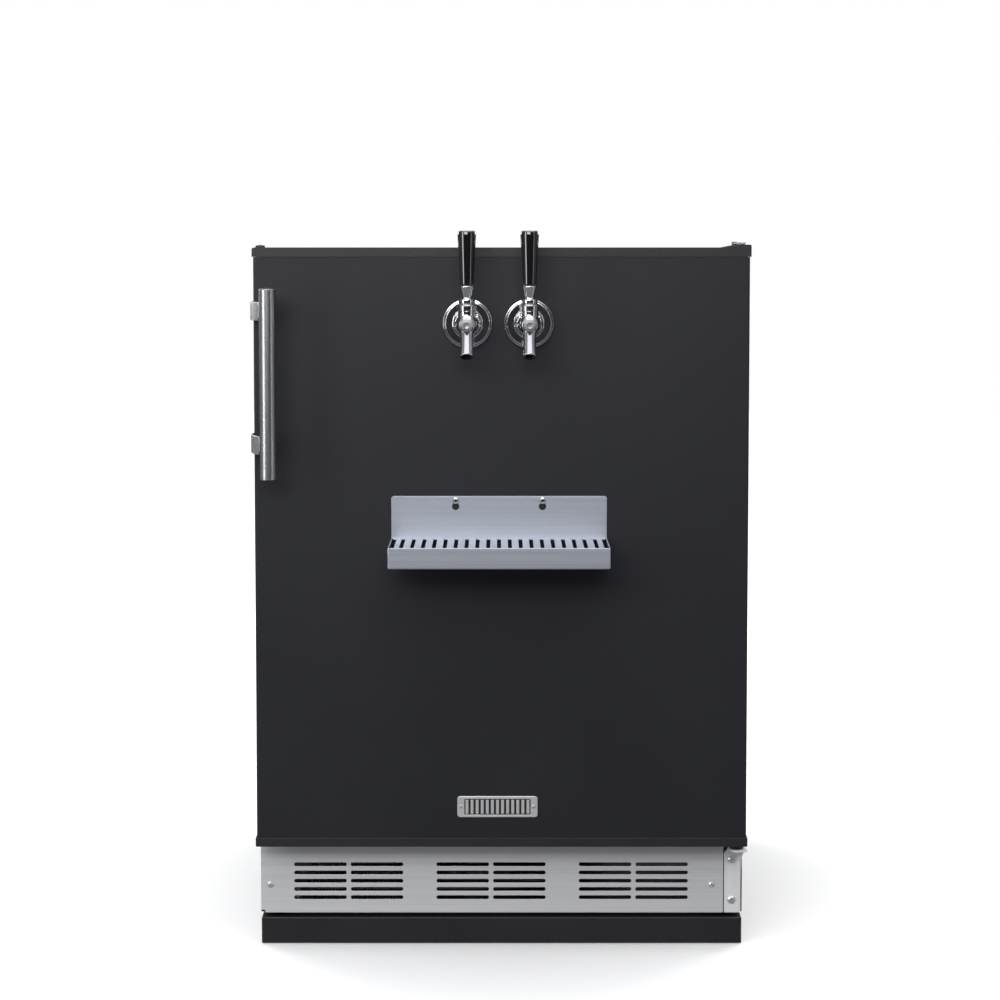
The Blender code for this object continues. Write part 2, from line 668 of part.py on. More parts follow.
def make_door_shell(mats, door):
    low, high = DOOR_BOTTOM_Z + CAP_TALL, DOOR_TOP_Z - CAP_TALL
    back = FRONT_Y + DOOR_THICK
    panel = add("door_panel", box((-HALF, FRONT_Y, low), (HALF, back, high)), mats["black_paint"], door, False)
    cut(panel, box((-HALF + SKIN, FRONT_Y + SKIN, low - 0.01), (HALF - SKIN, back + 0.01, high + 0.01)))
    cut(panel, *tap_holes(-0.01, 0.01), *tray_screw_holes(2.3 * MM))

    liner_front = back - LINER_WALL
    foam = add(
        "door_foam",
        box((-HALF + SKIN + GAP, FRONT_Y + SKIN + GAP, low + GAP), (HALF - SKIN - GAP, liner_front - GAP, high - GAP)),
        mats["foam"], door, False,
    )
    cut(foam, *tap_holes(-0.01, 0.06), *tray_screw_holes(2.3 * MM))

    liner_half = HALF - SKIN - GAP
    liner = add(
        "door_liner",
        box((-liner_half, liner_front, low + GAP), (liner_half, back, high - GAP)),
        mats["liner"], door, False,
    )
    dyke_x, dyke_low, dyke_high, dyke_back = 0.24, 0.172, 0.812, FRONT_Y + 0.047
    fuse(liner, box((-dyke_x, liner_front + 0.5 * MM, dyke_low), (dyke_x, dyke_back, dyke_high)))
    rim = 12 * MM
    cut(liner, box((-dyke_x + rim, back, dyke_low + rim), (dyke_x - rim, dyke_back + 0.01, dyke_high - rim)))
    cut(liner, *tap_holes(0.0, 0.08))

    top = DOOR_TOP_Z
    edge = HALF + CAP_PROUD
    rise = 3.5 * MM
    seam = high + GAP
    outline = [
        (-edge, seam), (edge, seam), (edge, top + 1 * MM), (edge - 1 * MM, top + rise - 1 * MM), (edge - 3 * MM, top + rise),
        (287 * MM, top + rise), (276 * MM, top + 2 * MM), (266 * MM, top), (-edge + 2 * MM, top), (-edge, top - 2 * MM),
    ]
    cap = add("door_top_cap", prism(outline, "Y", FRONT_Y - 0.5 * MM, back), mats["black_plastic"], door, False)
    fuse(cap, turned([(0.006, top - 2 * MM), (0.006, top + 1.5 * MM), (0.003, top + 3 * MM)], "Z", (-292 * MM, HINGE_Y, 0), 12))
    pin_hole = PIN_R + 0.4 * MM
    cut(cap, rod(pin_hole, seam + 1.5 * MM, top + 0.02, "Z", (HINGE_X, HINGE_Y, 0), 14))

    seam = low - GAP
    outline = [
        (-edge, seam), (-edge, DOOR_BOTTOM_Z + 1 * MM), (-edge + 1 * MM, DOOR_BOTTOM_Z), (edge - 1 * MM, DOOR_BOTTOM_Z),
        (edge, DOOR_BOTTOM_Z + 1 * MM), (edge, seam),
    ]
    cap = add("door_bottom_cap", prism(outline, "Y", FRONT_Y - 0.5 * MM, back), mats["black_plastic"], door, False)
    fuse(cap, rod(7.8 * MM, TONGUE_TOP_Z + 0.4 * MM, DOOR_BOTTOM_Z + 1 * MM, "Z", (HINGE_X, HINGE_Y, 0), 16))
    fuse(cap, rod(7.5 * MM, DOOR_BOTTOM_Z - 3 * MM, DOOR_BOTTOM_Z + 1 * MM, "Z", (-HINGE_X, HINGE_Y, 0), 12))
    cut(cap, rod(pin_hole, 0.12, seam + 0.02, "Z", (HINGE_X, HINGE_Y, 0), 14))


def make_gasket(mats, door):
    outer_x, low, high, wide = 0.284, 0.147, 0.842, 0.018
    front, back = FRONT_Y + DOOR_THICK + GAP, FACE_Y - GAP
    gasket = add("door_gasket", box((-outer_x, front, low), (outer_x, back, high)), mats["rubber"], door, False)
    cut(gasket, box((-outer_x + wide, front - 0.01, low + wide), (outer_x - wide, back + 0.01, high - wide)))


def make_handle(mats, door):
    low, high = HANDLE_Z
    ring = [(HANDLE_R - 1.5 * MM, low), (HANDLE_R, low), (HANDLE_R, high), (HANDLE_R - 1.5 * MM, high)]
    add("handle_tube", turned(ring, "Z", (HANDLE_X, HANDLE_Y, 0), 20, ring=True), mats["brushed"], door)
    outer = -HALF - GAP - 1.2 * MM
    meet = Vector((HANDLE_X, HANDLE_Y)) + Vector((-0.9, 0.44)).normalized() * (HANDLE_R + 0.9 * MM)
    path = [(outer, FRONT_Y + 32 * MM), (outer, FRONT_Y - 6 * MM)]
    for i in range(1, 5):
        t = i / 5
        path.append((outer + (meet.x - outer) * t**2, FRONT_Y - 6 * MM + (meet.y - FRONT_Y + 6 * MM) * t))
    path.append(tuple(meet))
    outline = path_strip(path, 2.4 * MM)
    for name, z in zip(("handle_bracket_lower", "handle_bracket_upper"), HANDLE_BRACKET_Z):
        half = HANDLE_BRACKET_TALL / 2
        add(name, prism(outline, "Z", z - half, z + half), mats["brushed"], door, False)


def make_badge(mats, door):
    x, z = BADGE["x"], BADGE["z"]
    w, t = BADGE["wide"] / 2, BADGE["tall"] / 2
    cornered = []
    for sx, sz in ((1, -1), (1, 1), (-1, 1), (-1, -1)):
        corner = 2 * MM
        pair = [(x + sx * (w - corner), z + sz * t), (x + sx * w, z + sz * (t - corner))]
        cornered += pair if sx * sz < 0 else pair[::-1]
    add("badge_plate", prism(cornered, "Y", FRONT_Y - 2.2 * MM, FRONT_Y - GAP), mats["brushed"], door, False)


# ---- drip tray ----
def make_tray(mats, door):
    low, high = TRAY_Z
    sheet = TRAY_SHEET
    back = FRONT_Y - GAP
    left, right = TRAY_X - TRAY_HALF, TRAY_X + TRAY_HALF
    lift = empty("drip_tray_lift", (TRAY_X, FRONT_Y, low), door)
    tray = add("drip_tray", box((left, FRONT_Y - TRAY_DEEP, low), (right, back, high)), mats["brushed"], lift, False)
    corner = 4 * MM
    top = TRAY_BACK_TOP_Z
    splash = [
        (left, low), (right, low), (right, top - corner), (right - corner, top), (left + corner, top), (left, top - corner),
    ]
    fuse(tray, prism(splash, "Y", back - sheet, back))
    cut(tray, box((left + sheet, FRONT_Y - TRAY_DEEP + sheet, low + sheet), (right - sheet, back - sheet, high + 0.01)))
    for side in (-1, 1):
        x = TRAY_X + side * TRAY_SCREW_DX
        cut(
            tray,
            rod(4.5 * MM, -0.01, 0.01, "Y", (x, back, TRAY_SCREW_Z - KEYHOLE_DROP), 14),
            box((x - 2.4 * MM, back - 0.01, TRAY_SCREW_Z - KEYHOLE_DROP), (x + 2.4 * MM, back + 0.01, TRAY_SCREW_Z + 2.4 * MM)),
        )
    for name, side in (("tray_screw_left", -1), ("tray_screw_right", 1)):
        place = (TRAY_X + side * TRAY_SCREW_DX, back - sheet - GAP, TRAY_SCREW_Z)
        profile = [
            (0, -2 * MM), (2.6 * MM, -1.7 * MM), (4 * MM, -0.6 * MM), (4 * MM, 0), (2 * MM, 0), (2 * MM, 11 * MM),
        ]
        add(name, turned(profile, "Y", place, 12), mats["chrome"], door)

    grid_low, grid_high = high - 2.2 * MM, high - 0.7 * MM
    grid_half = TRAY_HALF - sheet - 1 * MM
    front, rear = FRONT_Y - TRAY_DEEP + sheet + 1 * MM, back - sheet - 1 * MM
    grid_lift = empty("drip_grid_lift", (TRAY_X, FRONT_Y, grid_low), lift)
    grid = add(
        "drip_grid",
        box((TRAY_X - grid_half, front, low + sheet + GAP), (TRAY_X + grid_half, rear, grid_high)),
        mats["brushed"], grid_lift, False,
    )
    cut(grid, box((TRAY_X - grid_half + sheet, front - 0.01, low), (TRAY_X + grid_half - sheet, rear + 0.01, grid_low)))
    middle = (front + rear) / 2
    for i in range(-9, 10):
        x = TRAY_X + i * 12.8 * MM
        cut(grid, box((x - 2 * MM, middle - 35 * MM, grid_low - 0.005), (x + 2 * MM, middle + 35 * MM, grid_high + 0.005)))


# ---- taps ----
def make_tap(side, mats, door):
    x = TAP_X[side]
    at_front = (x, FRONT_Y, TAP_Z)
    shank = [
        (3 * MM, -32 * MM), (SHANK_R, -32 * MM), (SHANK_R, -7 * MM), (24 * MM, -6.5 * MM), (30 * MM, -3 * MM), (30 * MM, -GAP),
        (SHANK_R, -GAP), (SHANK_R, 39 * MM), (17 * MM, 39 * MM), (17 * MM, 47 * MM), (SHANK_R, 47 * MM),
        (SHANK_R, 62 * MM), (4.5 * MM, 64 * MM), (4.5 * MM, 84 * MM), (3 * MM, 84 * MM),
    ]
    add(f"tap_shank_{side}", turned(shank, "Y", at_front, 20, ring=True), mats["chrome"], door)
    nut = [
        (SHANK_R + GAP, -36 * MM), (14 * MM, -36 * MM), (16.5 * MM, -33 * MM), (16.5 * MM, -20 * MM),
        (14.5 * MM, -17 * MM), (SHANK_R + GAP, -17 * MM),
    ]
    add(f"coupling_nut_{side}", turned(nut, "Y", at_front, 20, ring=True), mats["chrome"], door)

    body = add(
        f"faucet_body_{side}",
        turned(
            [
                (10.8 * MM, -33 * MM), (10.8 * MM, -41 * MM), (14 * MM, -46 * MM), (15 * MM, -55 * MM), (14 * MM, -64 * MM),
                (9.5 * MM, -70 * MM), (7.5 * MM, -72 * MM), (8.2 * MM, -75 * MM), (7 * MM, -79 * MM),
            ],
            "Y", at_front, 20,
        ),
        mats["chrome"], door,
    )
    tilt = math.radians(28)
    spout_start = Vector((x, FRONT_Y - 59 * MM, TAP_Z))
    aim = Matrix.Translation(spout_start) @ Matrix.Rotation(-tilt, 4, "X")
    spout = turned([(8.7 * MM, -5 * MM), (8.7 * MM, -44 * MM)], "Z", (0, 0, 0), 16)
    bmesh.ops.transform(spout, matrix=aim, verts=spout.verts)
    spout_bore = turned([(6.6 * MM, -2 * MM), (6.6 * MM, -60 * MM)], "Z", (0, 0, 0), 14)
    bmesh.ops.transform(spout_bore, matrix=aim, verts=spout_bore.verts)
    lever_at = (x, LEVER_Y, 0)
    neck = turned([(10.75 * MM, TAP_Z), (10.75 * MM, 797 * MM), (9.85 * MM, 798 * MM), (9.85 * MM, 804 * MM)], "Z", lever_at, 18)
    fuse(body, spout, neck)
    cut(
        body,
        rod(7 * MM, -68 * MM, -20 * MM, "Y", at_front, 14),
        spout_bore,
        box((x - 3 * MM, LEVER_Y - 3.2 * MM, TAP_Z), (x + 3 * MM, LEVER_Y + 9.7 * MM, 797 * MM)),
        turned([(7 * MM, 796 * MM), (7 * MM, 801 * MM), (9.4 * MM, 804 * MM), (9.4 * MM, 810 * MM)], "Z", lever_at, 18),
    )

    valve_travel = empty(f"valve_{side}_travel", (x, LEVER_Y, TAP_Z), door)
    shaft = add(
        f"valve_shaft_{side}",
        turned([(6.3 * MM, -39.5 * MM), (6.3 * MM, -44 * MM), (3.2 * MM, -45 * MM), (3.2 * MM, -67 * MM)], "Y", at_front, 14),
        mats["chrome"], valve_travel,
    )
    dog = box((x - 2.2 * MM, LEVER_Y + 3.1 * MM, TAP_Z), (x + 2.2 * MM, LEVER_Y + 4.7 * MM, 795.6 * MM))
    fuse(shaft, dog)

    pivot = empty(f"tap_lever_{side}_pivot", (x, LEVER_Y, LEVER_Z), door)
    ball_r = 6.4 * MM
    lever = [(0, LEVER_Z - 8 * MM), (2.4 * MM, LEVER_Z - 8 * MM), (2.4 * MM, LEVER_Z - 6 * MM)]
    for degrees in (-60, -45, -30, -15, 0):
        a = math.radians(degrees)
        lever.append((ball_r * math.cos(a), LEVER_Z + ball_r * math.sin(a)))
    lever += [(8.2 * MM, 820 * MM), (0, 820 * MM)]
    add(f"tap_lever_{side}", turned(lever, "Z", lever_at, 18), mats["chrome"], pivot)
    handle = [
        (7.9 * MM, 820 * MM + GAP), (8.3 * MM, 821.5 * MM), (11 * MM, 878 * MM), (10.6 * MM, 882 * MM), (8 * MM, 884.4 * MM),
        (0, 885 * MM),
    ]
    add(f"tap_handle_{side}", turned(handle, "Z", lever_at, 20), mats["gloss_black"], pivot)


def main():
    clear_scene()
    mats = make_materials()
    root = empty("kegerator", (0, 0, 0))
    make_wrapper(mats, root)
    make_liner(mats, root)
    make_insulation(mats, root)
    make_cabinet_sheets(mats, root)
    make_toe_kick(mats, root)
    make_kick_grille(mats, root)
    make_feet(mats, root)
    make_lower_hinge(mats, root)
    make_upper_hinge(mats, root)
    make_machine_parts(mats, root)
    make_evaporator(mats, root)
    make_thermostat(mats, root)
    make_gas(mats, root)
    door = empty("door_hinge", (HINGE_X, HINGE_Y, 0), root)
    make_door_shell(mats, door)
    make_gasket(mats, door)
    make_handle(mats, door)
    make_badge(mats, door)
    make_tray(mats, door)
    for side in TAP_X:
        make_tap(side, mats, door)


main()
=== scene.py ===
"""The looks of the kegerator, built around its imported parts: camera, light, materials and detailed pieces.

Metres, +Z up, the door front towards -Y. Meshes are in world coordinates, so Object coordinates are too.
"""

import math

import bmesh
import bpy
from mathutils import Matrix, Vector


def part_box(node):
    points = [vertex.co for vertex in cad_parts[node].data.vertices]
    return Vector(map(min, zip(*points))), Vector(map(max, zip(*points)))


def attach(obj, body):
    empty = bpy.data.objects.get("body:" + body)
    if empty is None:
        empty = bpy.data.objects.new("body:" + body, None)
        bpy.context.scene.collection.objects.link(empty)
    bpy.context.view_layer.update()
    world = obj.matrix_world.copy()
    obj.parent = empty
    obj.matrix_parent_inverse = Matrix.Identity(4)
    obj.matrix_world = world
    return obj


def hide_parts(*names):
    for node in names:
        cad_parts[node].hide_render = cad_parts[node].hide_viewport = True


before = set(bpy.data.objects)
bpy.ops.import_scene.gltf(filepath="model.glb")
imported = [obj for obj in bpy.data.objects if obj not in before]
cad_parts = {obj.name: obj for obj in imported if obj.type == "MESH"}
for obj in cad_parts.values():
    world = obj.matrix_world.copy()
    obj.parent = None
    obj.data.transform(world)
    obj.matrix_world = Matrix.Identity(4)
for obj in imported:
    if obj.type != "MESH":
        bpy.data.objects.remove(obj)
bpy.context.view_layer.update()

MM = 0.001
GAP = 0.3 * MM

PANEL_LOW, PANEL_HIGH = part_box("door_panel")
FRONT_Y = PANEL_LOW.y  # door front plane
DOOR_BACK_Y = PANEL_HIGH.y
HALF = PANEL_HIGH.x
WRAP_LOW, WRAP_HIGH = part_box("cabinet_wrapper")
FACE_Y = WRAP_LOW.y  # cabinet face behind the gasket
BACK_Y = WRAP_HIGH.y
SIDES = (-1, 1)
SIDE_NAMES = {-1: "left", 1: "right"}
GAS_X, GAS_Y, GAS_VALVE_Z = 200.5 * MM, 247.5 * MM, 577 * MM  # the cylinder's axis, and its valve's height
PIN_X, PIN_Y = 289.5 * MM, FRONT_Y + 20 * MM  # the door turns about this line


def mm(*points):
    """Points given in millimetres, in metres."""
    return [tuple(value * MM for value in point) for point in points]


def middle_of(low, high):
    return [(a + b) / 2 for a, b in zip(low, high)]


# ---- shapes: each function gives a bmesh ----
def box(low, high):
    bm = bmesh.new()
    bmesh.ops.create_cube(bm, size=1.0)
    low, high = Vector(low), Vector(high)
    for v in bm.verts:
        v.co = low + Vector((v.co[i] + 0.5) * (high[i] - low[i]) for i in range(3))
    return bm


def placer(axis):
    """Puts (a, b, along) in world axes: (y, z) across X, (x, z) across Y, (x, y) across Z."""
    return {
        "X": lambda a, b, t: (t, a, b),
        "Y": lambda a, b, t: (a, t, b),
        "Z": lambda a, b, t: (a, b, t),
    }[axis]


def skin(rows, wrap_rows=False, wrap_cols=True):
    """Faces between neighbouring rows of points, with the open ends filled."""
    bm = bmesh.new()
    verts = [[bm.verts.new(p) for p in row] for row in rows]
    n = len(rows[0])
    pairs = list(zip(verts, verts[1:])) + ([(verts[-1], verts[0])] if wrap_rows else [])
    for one, two in pairs:
        for i in range(n if wrap_cols else n - 1):
            j = (i + 1) % n
            bm.faces.new((one[i], one[j], two[j], two[i]))
    if wrap_cols and not wrap_rows:
        bm.faces.new(verts[0])
        bm.faces.new(verts[-1])
    if wrap_rows and not wrap_cols:
        bm.faces.new([row[0] for row in verts])
        bm.faces.new([row[-1] for row in verts])
    bmesh.ops.recalc_face_normals(bm, faces=bm.faces)
    return bm


def prism(outline, axis, start, end):
    place = placer(axis)
    return skin([[place(a, b, t) for a, b in outline] for t in (start, end)])


def fillet(points, radius, steps=4, closed=True):
    """Rounds a path's corners. A point may carry its own radius as a third number."""
    out = []
    last = len(points) - 1
    for i, point in enumerate(points):
        r = point[2] if len(point) > 2 else radius
        here = Vector(point[:2])
        if r <= 0 or (not closed and i in (0, last)):
            out.append(tuple(here))
            continue
        one = Vector(points[i - 1][:2]) - here
        two = Vector(points[(i + 1) % len(points)][:2]) - here
        reach = min(r / math.tan(one.angle(two) / 2), one.length * 0.49, two.length * 0.49)
        start, end = here + one.normalized() * reach, here + two.normalized() * reach
        for s in range(steps + 1):
            t = s / steps
            out.append(tuple(start.lerp(here, t).lerp(here.lerp(end, t), t)))
    return out


def rounded_rect(x, z, wide, tall, r, steps=4):
    w, t = wide / 2, tall / 2
    return fillet([(x - w, z - t), (x + w, z - t), (x + w, z + t), (x - w, z + t)], r, steps)


def slot_loop(x, z, wide, tall, steps=5):
    """A slot with round ends, level or upright."""
    return rounded_rect(x, z, wide, tall, min(wide, tall) / 2, steps)


def ring_loop(x, z, r, count=28):
    return [
        (x + r * math.cos(2 * math.pi * i / count), z + r * math.sin(2 * math.pi * i / count))
        for i in range(count)
    ]


def turned(profile, axis, centre, segments=48, ring=False):
    """A profile of (radius, along) turned about the axis through centre. A ring's profile closes on itself."""
    bm = bmesh.new()
    rows = []
    for radius, along in profile:
        if radius < 1e-7:
            rows.append([bm.verts.new((0, 0, along))] * segments)
            continue
        angles = [2 * math.pi * i / segments for i in range(segments)]
        rows.append([bm.verts.new((radius * math.cos(a), radius * math.sin(a), along)) for a in angles])
    pairs = list(zip(rows, rows[1:])) + ([(rows[-1], rows[0])] if ring else [])
    for one, two in pairs:
        for i in range(segments):
            j = (i + 1) % segments
            corners = list(dict.fromkeys((one[i], one[j], two[j], two[i])))
            if len(corners) > 2:
                bm.faces.new(corners)
    if not ring:
        for row in (rows[0], rows[-1]):
            if row[0] is not row[1]:
                bm.faces.new(row)
    turn = {
        "X": Matrix.Rotation(math.pi / 2, 4, "Y"),
        "Y": Matrix.Rotation(-math.pi / 2, 4, "X"),
        "Z": Matrix.Identity(4),
    }[axis]
    bmesh.ops.transform(bm, matrix=Matrix.Translation(centre) @ turn, verts=bm.verts)
    bmesh.ops.recalc_face_normals(bm, faces=bm.faces)
    return bm


def soft_turned(profile, axis, centre, round_by, segments=48, steps=3):
    """Turned, with the profile's corners rounded. Its ends stay where they are."""
    return turned(fillet(profile, round_by, steps, closed=False), axis, centre, segments)


def fluted(profile, axis, centre, teeth, segments):
    """A knob about an axis: rows of (radius and flute depth in mm, place along).

    A depth under 0 turns the flutes.
    """
    place = placer(axis)
    rows = []
    for radius, along, depth in profile:
        row = []
        for i in range(segments):
            a = 2 * math.pi * i / segments
            wave = math.cos(teeth * a) if depth > 0 else -math.cos(teeth * a)
            r = (radius - abs(depth) * max(0.0, wave)) * MM
            row.append(place(centre[0] + r * math.cos(a), centre[1] + r * math.sin(a), along))
        rows.append(row)
    return skin(rows)


def moved(bm, matrix):
    bmesh.ops.transform(bm, matrix=matrix, verts=bm.verts)
    return bm


def joined(*shapes):
    """Several closed shapes as one bmesh."""
    whole = bmesh.new()
    for shape in shapes:
        mesh = bpy.data.meshes.new("part")
        shape.to_mesh(mesh)
        shape.free()
        whole.from_mesh(mesh)
        bpy.data.meshes.remove(mesh)
    return whole


def scratch(bm):
    mesh = bpy.data.meshes.new("scratch")
    bm.to_mesh(mesh)
    bm.free()
    obj = bpy.data.objects.new("scratch", mesh)
    bpy.context.scene.collection.objects.link(obj)
    return obj


def evaluated(obj, *others):
    """The object's mesh with its modifiers applied, as a bmesh. The scratch objects go."""
    graph = bpy.context.evaluated_depsgraph_get()
    mesh = bpy.data.meshes.new_from_object(obj.evaluated_get(graph))
    bm = bmesh.new()
    bm.from_mesh(mesh)
    bpy.data.meshes.remove(mesh)
    for spare in (obj, *others):
        data = spare.data
        bpy.data.objects.remove(spare, do_unlink=True)
        if isinstance(data, bpy.types.Mesh):
            bpy.data.meshes.remove(data)
        else:
            bpy.data.curves.remove(data)
    return bm


def boolean(bm, operation, *tools):
    target = scratch(bm)
    helpers = []
    for tool in tools:
        helpers.append(scratch(tool))
        modifier = target.modifiers.new("tool", "BOOLEAN")
        modifier.operation = operation
        modifier.solver = "EXACT"
        modifier.object = helpers[-1]
    return evaluated(target, *helpers)


def curve_mesh(loops, closed, dimensions, **settings):
    curve = bpy.data.curves.new("scratch", "CURVE")
    curve.dimensions = dimensions
    for key, value in settings.items():
        setattr(curve, key, value)
    for loop in loops:
        spline = curve.splines.new("POLY")
        spline.points.add(len(loop) - 1)
        for point, co in zip(spline.points, loop):
            point.co = (*co, *[0.0] * (3 - len(co)), 1.0)
        spline.use_cyclic_u = closed
    obj = bpy.data.objects.new("scratch", curve)
    bpy.context.scene.collection.objects.link(obj)
    bm = evaluated(obj)
    bmesh.ops.remove_doubles(bm, verts=bm.verts, dist=1e-6)
    bmesh.ops.recalc_face_normals(bm, faces=bm.faces)
    return bm


def plate(loops, thick, edge, axis, middle):
    """A flat plate: the first loop is its outline and the rest are holes, with every edge rounded by edge."""
    bm = curve_mesh(
        loops, True, "2D", fill_mode="BOTH", extrude=thick / 2 - edge, bevel_depth=edge, bevel_resolution=1,
        offset=-edge,
    )
    place = placer(axis)
    for v in bm.verts:
        v.co = Vector(place(v.co.x, v.co.y, middle + v.co.z))
    bmesh.ops.recalc_face_normals(bm, faces=bm.faces)
    return bm


def wire(points, radius, closed=False, smooth=0, sides=3):
    """A round wire or pipe through the points. smooth rounds its corners by that many subdivisions."""
    points = [Vector(p) for p in points]
    for _ in range(smooth):
        finer = []
        count = len(points)
        for i in range(count if closed else count - 1):
            one, two = points[i], points[(i + 1) % count]
            finer += [one.lerp(two, 0.25), one.lerp(two, 0.75)]
        points = finer if closed else [points[0]] + finer + [points[-1]]
    return curve_mesh([points], closed, "3D", bevel_depth=radius, bevel_resolution=sides, use_fill_caps=True)


def circle_points(centre, radius, axis="Y", count=40):
    place = placer(axis)
    along = {"X": centre[0], "Y": centre[1], "Z": centre[2]}[axis]
    a0, b0 = {"X": (centre[1], centre[2]), "Y": (centre[0], centre[2]), "Z": (centre[0], centre[1])}[axis]
    return [place(a, b, along) for a, b in ring_loop(a0, b0, radius, count)]


def piece(name, bm, mat, body="cabinet", node=None, bevel=0.0, steps=2, sharp=40, level=True):
    """A finished piece that rides on a body and may replace a CAD node.

    bevel rounds its sharp edges; level keeps flat faces looking flat.
    """
    mesh = bpy.data.meshes.new(name)
    bm.to_mesh(mesh)
    bm.free()
    obj = bpy.data.objects.new(name, mesh)
    bpy.context.scene.collection.objects.link(obj)
    mesh.materials.append(MATS[mat])
    mesh.shade_smooth()
    if bevel:
        modifier = obj.modifiers.new("edges", "BEVEL")
        modifier.width = bevel
        modifier.segments = steps
        modifier.limit_method = "ANGLE"
        modifier.angle_limit = math.radians(32)
    else:
        mesh.set_sharp_from_angle(angle=math.radians(sharp))
    if level:
        modifier = obj.modifiers.new("level", "WEIGHTED_NORMAL")
        modifier.keep_sharp = True
        modifier.weight = 80
    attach(obj, body)
    if node:
        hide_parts(node)


def paint_node(name, mat, bevel=0.0):
    """A CAD node kept as it is, with a better material and softened edges."""
    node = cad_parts[name]
    for entry in node.material_slots:
        entry.material = MATS[mat]
    if bevel:
        weld = node.modifiers.new("weld", "WELD")
        weld.merge_threshold = 1e-6
        edges = node.modifiers.new("edges", "BEVEL")
        edges.width = bevel
        edges.segments = 2
        edges.limit_method = "ANGLE"
        edges.angle_limit = math.radians(32)
        edges.harden_normals = True


def screw_head(place, axis, sign, radius, tall, slot=0.22):
    """A pan head with a cross recess. sign says which way along the axis it faces."""
    profile = fillet(
        [(0, tall), (radius * 0.55, tall * 0.96), (radius, tall * 0.35), (radius, 0), (0, 0)],
        radius * 0.25, 3, False,
    )
    head = turned([(r, sign * t) for r, t in profile], axis, place, 32)
    wide, long, deep = radius * slot, radius * 1.15, tall * 0.5
    arms = []
    for a, b in ((wide, long), (long, wide)):
        arm = prism(
            [(-a / 2, -b / 2), (a / 2, -b / 2), (a / 2, b / 2), (-a / 2, b / 2)], axis,
            sign * (tall - deep), sign * (tall + 1 * MM),
        )
        arms.append(moved(arm, Matrix.Translation(place)))
    return boolean(head, "DIFFERENCE", *arms)


def pan_screw(node, seat, head_r, head_tall, shank_r):
    """A screw in the place of a CAD node: its head stands on the seat and its shank runs back from there."""
    low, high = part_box(node)
    x, _, z = middle_of(low, high)
    head = screw_head((x, seat, z), "Y", -1, head_r, head_tall)
    shank = turned([(shank_r, seat - 0.1 * MM), (shank_r, high.y)], "Y", (x, 0, z), 20)
    return joined(head, shank)


# ---- camera, light and floor ----
def aim(obj, target):
    obj.rotation_euler = (Vector(target) - obj.location).to_track_quat("-Z", "Y").to_euler()


def add_camera():
    data = bpy.data.cameras.new("camera")
    data.lens = 85.4
    data.sensor_width = 36.0
    data.shift_y = -0.10
    camera = bpy.data.objects.new("camera", data)
    camera.location = (-1.9 * MM, FRONT_Y - 2.856, 0.8753)
    camera.rotation_euler = (math.pi / 2 - 0.0678, 0, 0)
    bpy.context.scene.collection.objects.link(camera)
    bpy.context.scene.camera = camera


def soft_light(name, place, target, wide, tall, power, colour=(1, 1, 1), spread=180):
    data = bpy.data.lights.new(name, "AREA")
    data.shape = "RECTANGLE"
    data.size, data.size_y = wide, tall
    data.energy = power
    data.color = colour
    data.spread = math.radians(spread)
    lamp = bpy.data.objects.new(name, data)
    lamp.location = place
    aim(lamp, target)
    bpy.context.scene.collection.objects.link(lamp)


def add_lights():
    soft_light("light_front_top", (0, -2.3, 3.1), (0, -0.2, 0.85), 4.4, 2.4, 44)
    soft_light("light_front_fill", (-0.6, -3.1, 1.7), (0, -0.25, 0.3), 2.2, 0.8, 38)
    soft_light("light_left", (-2.4, -2.1, 1.0), (0, -0.25, 0.5), 0.8, 1.8, 26, (0.95, 0.97, 1.0))
    soft_light("light_right", (2.2, -1.75, 0.95), (0, -0.25, 0.5), 0.16, 2.0, 4.5, (0.97, 0.98, 1.0))
    soft_light("light_top", (0, 0.2, 3.0), (0, 0.1, 0.8), 2.4, 2.4, 45)
    soft_light("light_back_left", (-2.2, 2.2, 1.7), (0, 0.3, 0.5), 1.4, 1.8, 42)
    soft_light("light_back_right", (2.2, 2.2, 1.7), (0, 0.3, 0.5), 1.4, 1.8, 42)


